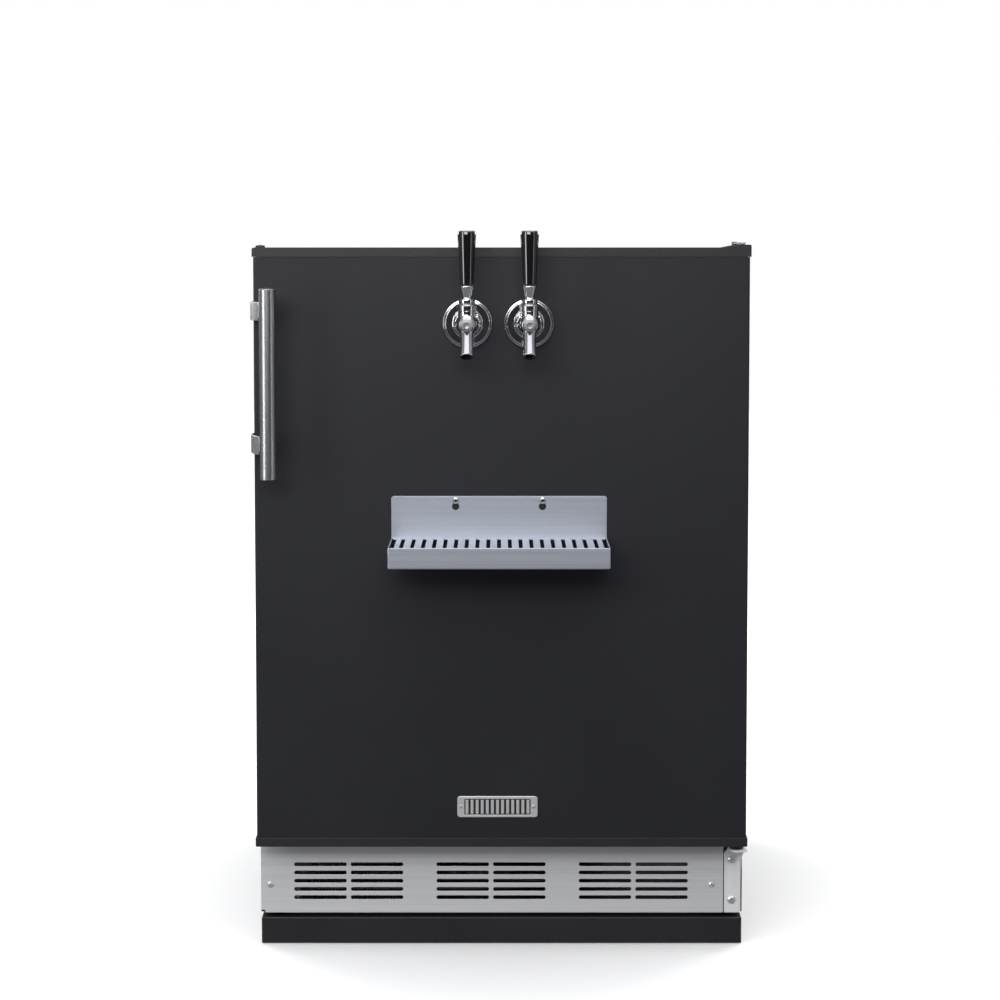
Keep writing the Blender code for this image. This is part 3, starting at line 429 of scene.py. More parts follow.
def add_world():
    """White where the camera sees it.

    In reflections: darker ahead and level, brighter above, below and to the sides.
    """
    world = bpy.data.worlds.new("studio")
    world.use_nodes = True
    bpy.context.scene.world = world
    nodes, links = world.node_tree.nodes, world.node_tree.links
    nodes.clear()

    def backdrop(strength):
        background = nodes.new("ShaderNodeBackground")
        background.inputs["Color"].default_value = (1, 1, 1, 1)
        background.inputs["Strength"].default_value = strength
        return background

    place = nodes.new("ShaderNodeTexCoord")
    split = nodes.new("ShaderNodeSeparateXYZ")
    links.new(place.outputs["Generated"], split.inputs[0])
    ramp = nodes.new("ShaderNodeValToRGB")
    stops = ramp.color_ramp.elements
    stops[0].position, stops[0].color = 0.0, (0.30, 0.30, 0.31, 1)
    stops[1].position, stops[1].color = 1.0, (0.70, 0.71, 0.73, 1)
    for position, level in ((0.25, 0.20), (0.40, 0.11), (0.47, 0.025), (0.56, 0.03), (0.72, 0.30)):
        stops.new(position).color = (level, level, level * 1.04, 1)
    half = nodes.new("ShaderNodeMapRange")
    half.inputs["From Min"].default_value = -1.0
    links.new(split.outputs["Z"], half.inputs["Value"])
    links.new(half.outputs[0], ramp.inputs["Fac"])
    around = backdrop(1.0)
    links.new(ramp.outputs["Color"], around.inputs["Color"])

    aside = nodes.new("ShaderNodeMath")
    aside.operation = "ABSOLUTE"
    links.new(split.outputs["X"], aside.inputs[0])
    cards = nodes.new("ShaderNodeMapRange")
    cards.interpolation_type = "SMOOTHSTEP"
    cards.inputs["From Min"].default_value = 0.78
    cards.inputs["From Max"].default_value = 0.98
    cards.inputs["To Max"].default_value = 0.20
    links.new(aside.outputs[0], cards.inputs["Value"])
    sides = backdrop(1.0)
    links.new(cards.outputs[0], sides.inputs["Strength"])
    both = nodes.new("ShaderNodeAddShader")
    links.new(around.outputs[0], both.inputs[0])
    links.new(sides.outputs[0], both.inputs[1])

    path = nodes.new("ShaderNodeLightPath")
    mix = nodes.new("ShaderNodeMixShader")
    links.new(path.outputs["Is Camera Ray"], mix.inputs["Fac"])
    links.new(both.outputs[0], mix.inputs[1])
    links.new(backdrop(1.0).outputs[0], mix.inputs[2])
    out = nodes.new("ShaderNodeOutputWorld")
    links.new(mix.outputs[0], out.inputs["Surface"])


def add_floor():
    """A pale round floor, bright enough in itself that its far edge doesn't show."""
    mesh = bpy.data.meshes.new("floor")
    bm = turned([(0, -2 * MM), (9.0, -2 * MM), (9.0, -0.2 * MM), (0, -0.2 * MM)], "Z", (0, 0, 0), 96)
    bm.to_mesh(mesh)
    bm.free()
    floor = bpy.data.objects.new("floor", mesh)
    bpy.context.scene.collection.objects.link(floor)
    mat = bpy.data.materials.new("floor")
    mat.use_nodes = True
    shader = mat.node_tree.nodes["Principled BSDF"]
    shader.inputs["Base Color"].default_value = (0.82, 0.82, 0.82, 1)
    shader.inputs["Roughness"].default_value = 0.6
    shader.inputs["Emission Color"].default_value = (1, 1, 1, 1)
    nodes, links = mat.node_tree.nodes, mat.node_tree.links
    place = nodes.new("ShaderNodeTexCoord")
    away = nodes.new("ShaderNodeVectorMath")
    away.operation = "LENGTH"
    glow = nodes.new("ShaderNodeMapRange")
    glow.inputs["From Min"].default_value = 0.25
    glow.inputs["From Max"].default_value = 2.2
    glow.inputs["To Min"].default_value = 0.12
    glow.inputs["To Max"].default_value = 0.80
    links.new(place.outputs["Object"], away.inputs[0])
    links.new(away.outputs["Value"], glow.inputs["Value"])
    links.new(glow.outputs[0], shader.inputs["Emission Strength"])
    mesh.materials.append(mat)
    floor.visible_glossy = False
    floor.visible_diffuse = False


# ---- materials ----
def make(name, colour, roughness, metallic=0.0, **sockets):
    mat = bpy.data.materials.new(name)
    mat.use_nodes = True
    shader = mat.node_tree.nodes["Principled BSDF"]
    shader.inputs["Base Color"].default_value = (*colour, 1)
    shader.inputs["Roughness"].default_value = roughness
    shader.inputs["Metallic"].default_value = metallic
    for key, value in sockets.items():
        shader.inputs[key.replace("_", " ")].default_value = value
    return mat


def noise(mat, stretch, scale, detail=3.0, roughness=0.55):
    """A noise in world coordinates at rest. stretch scales x, y and z; scale is per metre."""
    nodes, links = mat.node_tree.nodes, mat.node_tree.links
    place = nodes.new("ShaderNodeTexCoord")
    mapping = nodes.new("ShaderNodeMapping")
    mapping.inputs["Scale"].default_value = stretch
    field = nodes.new("ShaderNodeTexNoise")
    field.inputs["Scale"].default_value = scale
    field.inputs["Detail"].default_value = detail
    field.inputs["Roughness"].default_value = roughness
    links.new(place.outputs["Object"], mapping.inputs["Vector"])
    links.new(mapping.outputs[0], field.inputs["Vector"])
    return field.outputs["Fac"]


def tint(mat, field, low, high, start=0.3, end=0.7):
    """Base colour runs from low to high with the field."""
    nodes, links = mat.node_tree.nodes, mat.node_tree.links
    ramp = nodes.new("ShaderNodeValToRGB")
    ramp.color_ramp.elements[0].position = start
    ramp.color_ramp.elements[0].color = (*low, 1)
    ramp.color_ramp.elements[1].position = end
    ramp.color_ramp.elements[1].color = (*high, 1)
    links.new(field, ramp.inputs["Fac"])
    links.new(ramp.outputs["Color"], nodes["Principled BSDF"].inputs["Base Color"])


def sheen_range(mat, field, low, high):
    """Roughness runs from low to high with the field."""
    nodes, links = mat.node_tree.nodes, mat.node_tree.links
    span = nodes.new("ShaderNodeMapRange")
    span.inputs["From Min"].default_value = 0.3
    span.inputs["From Max"].default_value = 0.7
    span.inputs["To Min"].default_value = low
    span.inputs["To Max"].default_value = high
    links.new(field, span.inputs["Value"])
    links.new(span.outputs[0], nodes["Principled BSDF"].inputs["Roughness"])


def relief(mat, *fields):
    """Bumps, each (field, strength, depth in metres), stacked."""
    nodes, links = mat.node_tree.nodes, mat.node_tree.links
    normal = None
    for field, strength, depth in fields:
        bump = nodes.new("ShaderNodeBump")
        bump.inputs["Strength"].default_value = strength
        bump.inputs["Distance"].default_value = depth
        links.new(field, bump.inputs["Height"])
        if normal:
            links.new(normal, bump.inputs["Normal"])
        normal = bump.outputs["Normal"]
    links.new(normal, nodes["Principled BSDF"].inputs["Normal"])


def brushed(name, low, high, rough, stretch, depth=0.00004, metallic=0.8):
    """Brushed metal: long streaks along the axis whose stretch is small."""
    mat = make(name, high, rough[0], metallic)
    streaks = noise(mat, stretch, 1.0, 5.0, 0.7)
    tint(mat, streaks, low, high, 0.32, 0.68)
    sheen_range(mat, noise(mat, stretch, 0.6, 3.0), *rough)
    relief(mat, (streaks, 0.35, depth), (noise(mat, (1, 1, 1), 9.0, 1.0), 0.25, 0.0006))
    return mat


def paint(name, low, high, rough, grain, depth, cloud=7.0, **sockets):
    """Paint or moulded plastic: a fine grain, and slow changes of tone and gloss."""
    mat = make(name, high, rough[0], **sockets)
    slow = noise(mat, (1, 1, 1), cloud, 3.0)
    tint(mat, slow, low, high)
    sheen_range(mat, noise(mat, (1, 1, 1), cloud * 1.7, 4.0), *rough)
    relief(mat, (noise(mat, (1, 1, 1), grain, 2.0), 0.35, depth))
    return mat


SOCKETS = {  # further sockets of the shader, by material
    "door_paint": {"Specular_IOR_Level": 0.36},
    "cabinet_paint": {"Specular_IOR_Level": 0.36},
    "cylinder": {"Coat_Weight": 0.4, "Coat_Roughness": 0.12},
    "screw_steel": {"Metallic": 0.8},
    "gloss_black": {"Coat_Weight": 1.0, "Coat_Roughness": 0.03, "Specular_IOR_Level": 0.6},
    "lens": {"Transmission_Weight": 0.35, "IOR": 1.49},
}


def make_materials():
    even = (1, 1, 1)
    mats = {}
    for name, *look in (  # name, dark and light tone, roughness from and to, grain, its depth, cloud size
        ("door_paint", (0.0113, 0.0119, 0.0162), (0.0125, 0.0131, 0.0176), (0.46, 0.52), 1500, 0.00005, 4.0),
        ("cabinet_paint", (0.0178, 0.0184, 0.0212), (0.0190, 0.0196, 0.0226), (0.50, 0.515), 900, 0.00008, 5.0),
        ("cap_plastic", (0.0125, 0.013, 0.0148), (0.0145, 0.015, 0.017), (0.42, 0.50), 2200, 0.00003, 12.0),
        ("toe_paint", (0.012, 0.0124, 0.0145), (0.0145, 0.0149, 0.0172), (0.42, 0.50), 1200, 0.00006, 8.0),
        ("black_plastic", (0.012, 0.012, 0.0135), (0.017, 0.017, 0.0185), (0.36, 0.5), 1800, 0.00005, 15.0),
        ("rubber", (0.014, 0.014, 0.0145), (0.02, 0.02, 0.0205), (0.6, 0.75), 1600, 0.00005, 20.0),
        ("liner", (0.765, 0.775, 0.775), (0.785, 0.795, 0.79), (0.30, 0.33), 260, 0.00003, 3.0),
        ("foam", (0.60, 0.50, 0.27), (0.78, 0.68, 0.43), (0.85, 0.95), 700, 0.0006, 40.0),
        ("cylinder", (0.50, 0.51, 0.52), (0.60, 0.61, 0.62), (0.26, 0.36), 500, 0.00006, 9.0),
        # machine_black: the real black paint of the compressor, fan motor and base frame; also painted shade for
        # the tap spouts' bores, the front refrigerant line and, in part, the condenser
        ("machine_black", (0.010, 0.010, 0.011), (0.018, 0.018, 0.019), (0.25, 0.42), 700, 0.00015, 25.0),
        ("dial_white", (0.74, 0.74, 0.71), (0.82, 0.82, 0.80), (0.3, 0.4), 900, 0.00002, 30.0),
        ("dial_red", (0.42, 0.03, 0.02), (0.52, 0.05, 0.03), (0.35, 0.45), 900, 0.00002, 30.0),
        ("screw_steel", (0.66, 0.665, 0.68), (0.80, 0.805, 0.82), (0.26, 0.34), 900, 0.00003, 60.0),
    ):
        mats[name] = paint(name, *look, **SOCKETS.get(name, {}))
    for name, *look in (  # name, dark and light tone, roughness from and to, streaks, their depth, metallic
        ("steel_level", (0.44, 0.445, 0.46), (0.58, 0.585, 0.60), (0.34, 0.44), (2.2, 500, 500)),
        ("kick_steel", (0.70, 0.705, 0.72), (0.82, 0.825, 0.84), (0.42, 0.52), (1.6, 500, 500), 0.00003, 0.45),
        ("steel_upright", (0.40, 0.405, 0.42), (0.50, 0.505, 0.52), (0.28, 0.34), (700, 700, 3.0), 0.00002, 1.0),
        ("tray_steel", (0.46, 0.485, 0.55), (0.54, 0.565, 0.64), (0.36, 0.44), (3.0, 600, 600), 0.00001, 0.75),
        ("hinge_steel", (0.86, 0.865, 0.88), (0.98, 0.985, 0.99), (0.40, 0.50), (500, 500, 2.0), 0.00003, 0.30),
        ("badge_steel", (0.62, 0.62, 0.62), (0.78, 0.78, 0.78), (0.34, 0.44), (8, 800, 800), 0.00002, 0.55),
    ):
        mats[name] = brushed(name, *look)
    for name, colour, rough, metallic, gloss_noise, bump_noise, strength in (
        ("chrome", (0.74, 0.745, 0.765), (0.07, 0.12), 1.0, (60.0, 3.0), (90.0, 2.0), 0.08),
        ("tap_metal", (0.46, 0.46, 0.485), (0.11, 0.18), 1.0, (60.0, 3.0), (90.0, 2.0), 0.08),
        ("gloss_black", (0.004, 0.004, 0.005), (0.10, 0.16), 0.0, (45.0, 3.0), (120.0, 1.0), 0.04),
        ("lens", (0.90, 0.92, 0.92), (0.18, 0.3), 0.0, (120.0, 2.0), (400.0, 1.0), 0.2),
    ):
        mat = make(name, colour, rough[0], metallic, **SOCKETS.get(name, {}))
        sheen_range(mat, noise(mat, even, *gloss_noise), *rough)
        relief(mat, (noise(mat, even, *bump_noise), strength, 0.0002))
        mats[name] = mat
    for name, low, high, rough, size in (
        ("zinc", (0.46, 0.48, 0.50), (0.64, 0.65, 0.66), (0.28, 0.46), 55.0),
        ("fins", (0.62, 0.63, 0.64), (0.74, 0.75, 0.76), (0.32, 0.48), 90.0),
        ("copper", (0.58, 0.25, 0.13), (0.74, 0.36, 0.21), (0.22, 0.38), 60.0),
        ("brass", (0.56, 0.40, 0.16), (0.68, 0.50, 0.23), (0.20, 0.34), 70.0),
    ):
        mat = make(name, high, rough[0], 1.0)
        tint(mat, noise(mat, even, size, 4.0), low, high, 0.35, 0.65)
        sheen_range(mat, noise(mat, even, size * 2.3, 4.0), *rough)
        relief(mat, (noise(mat, even, size * 9, 2.0), 0.15, 0.0001))
        mats[name] = mat
    spangle = mats["zinc"]
    cells = spangle.node_tree.nodes.new("ShaderNodeTexVoronoi")
    cells.inputs["Scale"].default_value = 85.0
    place = spangle.node_tree.nodes.new("ShaderNodeTexCoord")
    spangle.node_tree.links.new(place.outputs["Object"], cells.inputs["Vector"])
    tint(spangle, cells.outputs["Color"], (0.47, 0.49, 0.51), (0.62, 0.63, 0.64), 0.2, 0.8)
    return mats


# ---- door ----
def door_shell():
    low, high = PANEL_LOW, PANEL_HIGH
    r, sheet = 2.5 * MM, 1.0 * MM
    outer = fillet([(low.x, high.y), (low.x, low.y), (high.x, low.y), (high.x, high.y)], r, 5, closed=False)
    inner = fillet(
        [
            (low.x + sheet, high.y), (low.x + sheet, low.y + sheet), (high.x - sheet, low.y + sheet),
            (high.x - sheet, high.y),
        ],
        r - sheet, 5, closed=False,
    )
    piece(
        "door_skin", prism(outer + inner[::-1], "Z", low.z, high.z), "door_paint", "door",
        node="door_panel",
    )

    low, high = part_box("door_top_cap")
    panel_top = PANEL_HIGH.z + GAP
    top = high.z - 3.5 * MM
    outline = fillet(
        [
            (low.x, panel_top, 0), (high.x, panel_top, 0), (high.x, high.z, 2 * MM), (0.287, high.z, 5 * MM),
            (0.276, top + 2 * MM, 6 * MM), (0.266, top, 6 * MM), (low.x, top, 3 * MM),
        ],
        1 * MM, 5,
    )
    cap = prism(outline, "Y", low.y, high.y)
    hole = turned([(4.4 * MM, panel_top + 1.5 * MM), (4.4 * MM, high.z + 0.01)], "Z", (PIN_X, PIN_Y, 0), 24)
    cap = boolean(cap, "DIFFERENCE", hole)
    piece("door_cap_top", cap, "cap_plastic", "door", node="door_top_cap", bevel=0.7 * MM)
    plug = soft_turned(mm((0, -1), (6, -1), (6, 2.2), (0, 3.2)), "Z", (-0.292, PIN_Y, top), 1.5 * MM, 32)
    piece("hinge_hole_plug", plug, "cap_plastic", "door")

    low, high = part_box("door_bottom_cap")
    base = PANEL_LOW.z - 11.5 * MM
    outline = fillet(
        [(low.x, base), (high.x, base), (high.x, PANEL_LOW.z - GAP, 0), (low.x, PANEL_LOW.z - GAP, 0)],
        1.8 * MM, 5,
    )
    cap = prism(outline, "Y", low.y, high.y)
    bush = soft_turned([(7.8 * MM, low.z), (7.8 * MM, base + 1 * MM)], "Z", (PIN_X, PIN_Y, 0), 0, 32)
    spare = soft_turned(mm((7.5, -3), (7.5, 1)), "Z", (-PIN_X, PIN_Y, base), 0, 32)
    hole = turned([(4.4 * MM, low.z - 0.01), (4.4 * MM, PANEL_LOW.z + 0.01)], "Z", (PIN_X, PIN_Y, 0), 24)
    cap = boolean(boolean(cap, "UNION", bush, spare), "DIFFERENCE", hole)
    piece("door_cap_bottom", cap, "cap_plastic", "door", node="door_bottom_cap", bevel=0.6 * MM)


def rect_row(half_x, low, high, y, r, steps=5):
    return [(x, y, z) for x, z in rounded_rect(0, (low + high) / 2, 2 * half_x, high - low, r, steps)]


def door_inside():
    """The inner panel: a flat border, a raised ring that fits into the cabinet, and a recessed field."""
    low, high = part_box("door_liner")
    front, back, crest = DOOR_BACK_Y - 2.5 * MM, DOOR_BACK_Y, high.y
    bottom, top = 0.172, 0.812
    rows = [
        rect_row(high.x, low.z, high.z, front, 3 * MM),
        rect_row(high.x, low.z, high.z, back, 3 * MM),
        rect_row(0.2415, bottom - 1.5 * MM, top + 1.5 * MM, back, 15 * MM),
    ]
    rise = crest - back
    for inset, y in (
        (0, 0.25), (0.4, 0.6), (1.6, 0.9), (3.2, 1.0), (9.0, 1.0), (10.8, 0.9), (12.0, 0.6), (12.6, 0.25),
        (14.5, 0.0),
    ):
        i = inset * MM
        rows.append(rect_row(0.24 - i, bottom + i, top - i, back + rise * y, max(14 * MM - i * 0.6, 4 * MM)))
    panel = skin(rows)
    holes = [
        turned([(11.5 * MM, front - 0.02), (11.5 * MM, crest + 0.02)], "Y", (x, 0, 0.774), 32)
        for x in tap_places().values()
    ]
    panel = boolean(panel, "DIFFERENCE", *holes)
    piece("door_inner_panel", panel, "liner", "door", node="door_liner", sharp=50)
    for x in SIDES:
        for z in (0.24, 0.40, 0.56):
            crown = rounded_rect(x * 0.12, z, 0.17, 0.10, 0.012)
            foot = rounded_rect(x * 0.12, z, 0.174, 0.104, 0.014)
            levels = ((foot, back - 0.4 * MM), (foot, back + 0.7 * MM), (crown, back + 2 * MM))
            rows = [[(a, y, b) for a, b in loop] for loop, y in levels]
            piece(f"inner_panel_pad_{SIDE_NAMES[x]}_{round(z * 100)}", skin(rows), "liner", "door")
    paint_node("door_foam", "foam")


def door_gasket():
    low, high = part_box("door_gasket")
    front, back = low.y, high.y
    deep = back - front
    section = [
        (0.0, 0.0), (0.0, 0.18), (1.6, 0.24), (3.0, 0.36), (1.0, 0.46), (0.4, 0.56), (0.2, 0.90),
        (1.2, 1.0), (8.0, 1.0), (9.2, 0.90), (9.0, 0.60), (10.6, 0.50), (12.0, 0.44), (14.0, 0.34),
        (16.5, 0.20), (18.0, 0.10), (18.0, 0.0),
    ]
    rows = [
        rect_row(
            high.x - i * MM, low.z + i * MM, high.z - i * MM, front + deep * s,
            max(9 * MM - i * 0.3 * MM, 2 * MM), 4,
        )
        for i, s in section
    ]
    piece("door_gasket_bellows", skin(rows, wrap_rows=True), "rubber", "door", node="door_gasket", sharp=65)


def handle():
    low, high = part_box("handle_tube")
    x, y, _ = middle_of(low, high)
    r = (high.x - low.x) / 2
    tube = fillet([(r - 1.5 * MM, low.z), (r, low.z), (r, high.z), (r - 1.5 * MM, high.z)], 0.45 * MM, 3)
    piece(
        "handle_bar", turned(tube, "Z", (x, y, 0), 72, ring=True), "steel_upright", "door",
        node="handle_tube",
    )
    for end, z, sign in (("bottom", low.z, -1), ("top", high.z, 1)):
        profile = [(0, -9), (8.3, -9), (8.3, -0.6), (8.45, 0.2), (8.0, 0.9), (6.5, 1.5), (0, 1.8)]
        plug = turned([(a * MM, z + sign * b * MM) for a, b in profile], "Z", (x, y, 0), 48)
        piece(f"handle_plug_{end}", plug, "black_plastic", "door", sharp=60)
    for name in ("handle_bracket_lower", "handle_bracket_upper"):
        low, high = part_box(name)
        outer = -HALF - GAP - 1.2 * MM
        meet = Vector((x, y)) + Vector((-0.9, 0.44)).normalized() * (r + 0.9 * MM)
        bend_y = FRONT_Y - 6 * MM
        path = [(outer, FRONT_Y + 32 * MM), (outer, FRONT_Y + 10 * MM), (outer, bend_y)]
        for i in range(1, 13):
            t = i / 12
            path.append((outer + (meet.x - outer) * t**2, bend_y + (meet.y - bend_y) * t))
        left, right = [], []
        for i, p in enumerate(path):
            along = (Vector(path[min(i + 1, len(path) - 1)]) - Vector(path[max(i - 1, 0)])).normalized()
            side = Vector((-along.y, along.x)) * 1.2 * MM
            left.append(Vector(p) + side)
            right.append(Vector(p) - side)
        half, middle = (high.z - low.z) / 2, (high.z + low.z) / 2
        corner = 5 * MM
        rows = []
        reach = [0.0]
        for one, two in zip(path, path[1:]):
            reach.append(reach[-1] + (Vector(two) - Vector(one)).length)
        for i in range(len(path)):
            near = min(reach[i], reach[-1] - reach[i])
            tall = half if near >= corner else half - corner + math.sqrt(
                max(corner**2 - (corner - near) ** 2, 0)
            )
            rows.append([
                (left[i].x, left[i].y, middle - tall), (left[i].x, left[i].y, middle + tall),
                (right[i].x, right[i].y, middle + tall), (right[i].x, right[i].y, middle - tall),
            ])
        piece(name + "_arm", skin(rows), "steel_level", "door", node=name, bevel=0.5 * MM)
        for i, dz in enumerate((-5.5 * MM, 5.5 * MM)):
            head = screw_head((outer - 1.2 * MM, FRONT_Y + 22 * MM, middle + dz), "X", -1, 3.2 * MM, 1.5 * MM)
            piece(f"{name}_screw_{i}", head, "zinc", "door")


def nameplate():
    """A plain plate: solid ends with a rivet each, a border, and upright ribs in a dark recess."""
    low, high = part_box("badge_plate")
    x, _, z = middle_of(low, high)
    wide, tall = high.x - low.x, high.z - low.z
    base = plate([rounded_rect(x, z, wide, tall, 4 * MM, 5)], 1.3 * MM, 0.35 * MM, "Y", high.y - 0.65 * MM)
    piece("nameplate_base", base, "badge_steel", "door", node="badge_plate")
    front = high.y - 1.3 * MM
    recess = (wide - 17 * MM, tall - 6.4 * MM)
    rim = plate(
        [
            rounded_rect(x, z, wide - 0.8 * MM, tall - 0.8 * MM, 3.6 * MM, 5),
            rounded_rect(x, z, *recess, 1.6 * MM, 5),
        ],
        0.8 * MM, 0.25 * MM, "Y", front - 0.3 * MM,
    )
    piece("nameplate_rim", rim, "badge_steel", "door")
    pitch = 6.2 * MM
    for i in range(13):
        rib = plate(
            [rounded_rect(x + (i - 6) * pitch, z, 3.5 * MM, recess[1] - 2.4 * MM, 0.8 * MM, 3)], 0.7 * MM,
            0.25 * MM, "Y", front - 0.2 * MM,
        )
        piece(f"nameplate_rib_{i}", rib, "badge_steel", "door")
    field = plate(
        [rounded_rect(x, z, recess[0] - 0.2 * MM, recess[1] - 0.2 * MM, 1.5 * MM, 5)], 0.3 * MM, 0.05 * MM,
        "Y", front - 0.05 * MM,
    )
    piece("nameplate_field", field, "cap_plastic", "door")
    for side in SIDES:
        dome = soft_turned(
            mm((0, -1.3), (2.4, -0.8), (2.6, 0)), "Y", (x + side * 44.4 * MM, front, z), 0.8 * MM, 24,
        )
        piece(f"nameplate_rivet_{SIDE_NAMES[side]}", dome, "screw_steel", "door")


# ---- drip tray ----
def drip_tray():
    low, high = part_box("drip_tray")
    x = (low.x + high.x) / 2
    wide, deep = high.x - low.x, high.y - low.y
    lip_z = low.z + 25 * MM
    sheet = 1.2 * MM
    y = (low.y + high.y) / 2 - 0.1 * MM

    def row(inset, z, r):
        return [(a, b, z) for a, b in rounded_rect(x, y, wide - 2 * inset, deep - 0.2 * MM - 2 * inset, r, 4)]

    rows = [
        row(3.0 * MM, low.z, 1.0 * MM), row(1.4 * MM, low.z + 0.15 * MM, 1.6 * MM),
        row(0.5 * MM, low.z + 0.7 * MM, 1.6 * MM), row(0, low.z + 2.0 * MM, 1.6 * MM),
        row(0, lip_z - 0.5 * MM, 1.6 * MM), row(0.25 * MM, lip_z - 0.1 * MM, 1.5 * MM),
        row(0.6 * MM, lip_z, 1.3 * MM), row(0.95 * MM, lip_z - 0.1 * MM, 1.0 * MM),
        row(sheet, lip_z - 0.5 * MM, 0.9 * MM), row(sheet, low.z + 2.4 * MM, 0.9 * MM),
        row(sheet + 1.0 * MM, low.z + sheet, 0.8 * MM),
    ]
    piece("drip_tray_pan", skin(rows), "tray_steel", "drip_tray", node="drip_tray", sharp=60)

    # A black sheet lining the tray: painted shade, so the tray's inside looks dark through the grid's slots
    shade_sheet_rows = [
        row(sheet + i * MM, low.z + z * MM, 1.0 * MM)
        for i, z in ((1.1, 1.25), (0.05, 2.4), (0.05, 22.6), (0.25, 22.6), (0.25, 2.6), (1.3, 1.45))
    ]
    piece("drip_tray_shade_sheet", skin(shade_sheet_rows), "black_plastic", "drip_tray", sharp=60)

    back, foot = high.y, low.z + 1 * MM
    outline = [
        (low.x + 0.3 * MM, foot, 1 * MM), (high.x - 0.3 * MM, foot, 1 * MM), (high.x, high.z),
        (low.x, high.z),
    ]
    loops = [fillet(outline, 4 * MM, 6)]
    for side in SIDES:
        kx, kz, drop = x + side * 52.5 * MM, 0.5597, 7.4 * MM
        throat, big = 2.4 * MM, 4.5 * MM
        start = math.asin(throat / big)
        hole = []
        for i in range(17):
            a = math.pi / 2 + start + (2 * math.pi - 2 * start) * i / 16
            hole.append((kx + big * math.cos(a), kz - drop + big * math.sin(a)))
        for i in range(9):
            a = math.pi * i / 8
            hole.append((kx + throat * math.cos(a), kz + throat * math.sin(a)))
        loops.append(hole)
    piece("drip_tray_splash", plate(loops, sheet, 0.3 * MM, "Y", back - sheet / 2), "tray_steel", "drip_tray")
    for name in ("tray_screw_left", "tray_screw_right"):
        shape = pan_screw(name, back - sheet - GAP, 4 * MM, 2 * MM, 2 * MM)
        piece(name + "_pan_head", shape, "chrome", "door", node=name)

    low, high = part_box("drip_grid")
    middle = (low.y + high.y) / 2
    half, deep_half, finger, reach = (high.x - low.x) / 2, (high.y - low.y) / 2, 4.6 * MM, 42 * MM
    quarter = [(half, -deep_half, 1.2 * MM), (half, -reach, 1.2 * MM), (half - finger, -reach, 3 * MM)]
    quarter += [(a, -b, r) for a, b, r in quarter[::-1]]
    loops = [
        fillet(
            [(x + a, middle + b, r) for a, b, r in quarter + [(-a, -b, r) for a, b, r in quarter]], 1 * MM,
            3,
        )
    ]
    for i in range(-9, 10):
        loops.append(slot_loop(x + i * 12.8 * MM, middle, 4.6 * MM, 84 * MM, 3))
    grid = plate(loops, 1.4 * MM, 0.35 * MM, "Z", high.z - 0.7 * MM)
    legs = []
    for side in SIDES:
        leg_x = x + side * (half - finger - 0.8 * MM)
        legs.append(
            box(
                (leg_x - 0.55 * MM, low.y + 14 * MM, low.z),
                (leg_x + 0.55 * MM, high.y - 14 * MM, high.z - 0.9 * MM),
            )
        )
    piece("drip_grid_plate", grid, "tray_steel", "drip_grid", node="drip_grid")
    piece("drip_grid_legs", joined(*legs), "tray_steel", "drip_grid", bevel=0.2 * MM)


# ---- taps ----
def tap_places():
    return {side: sum(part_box(f"tap_shank_{side}")[i].x for i in (0, 1)) / 2 for side in ("left", "right")}


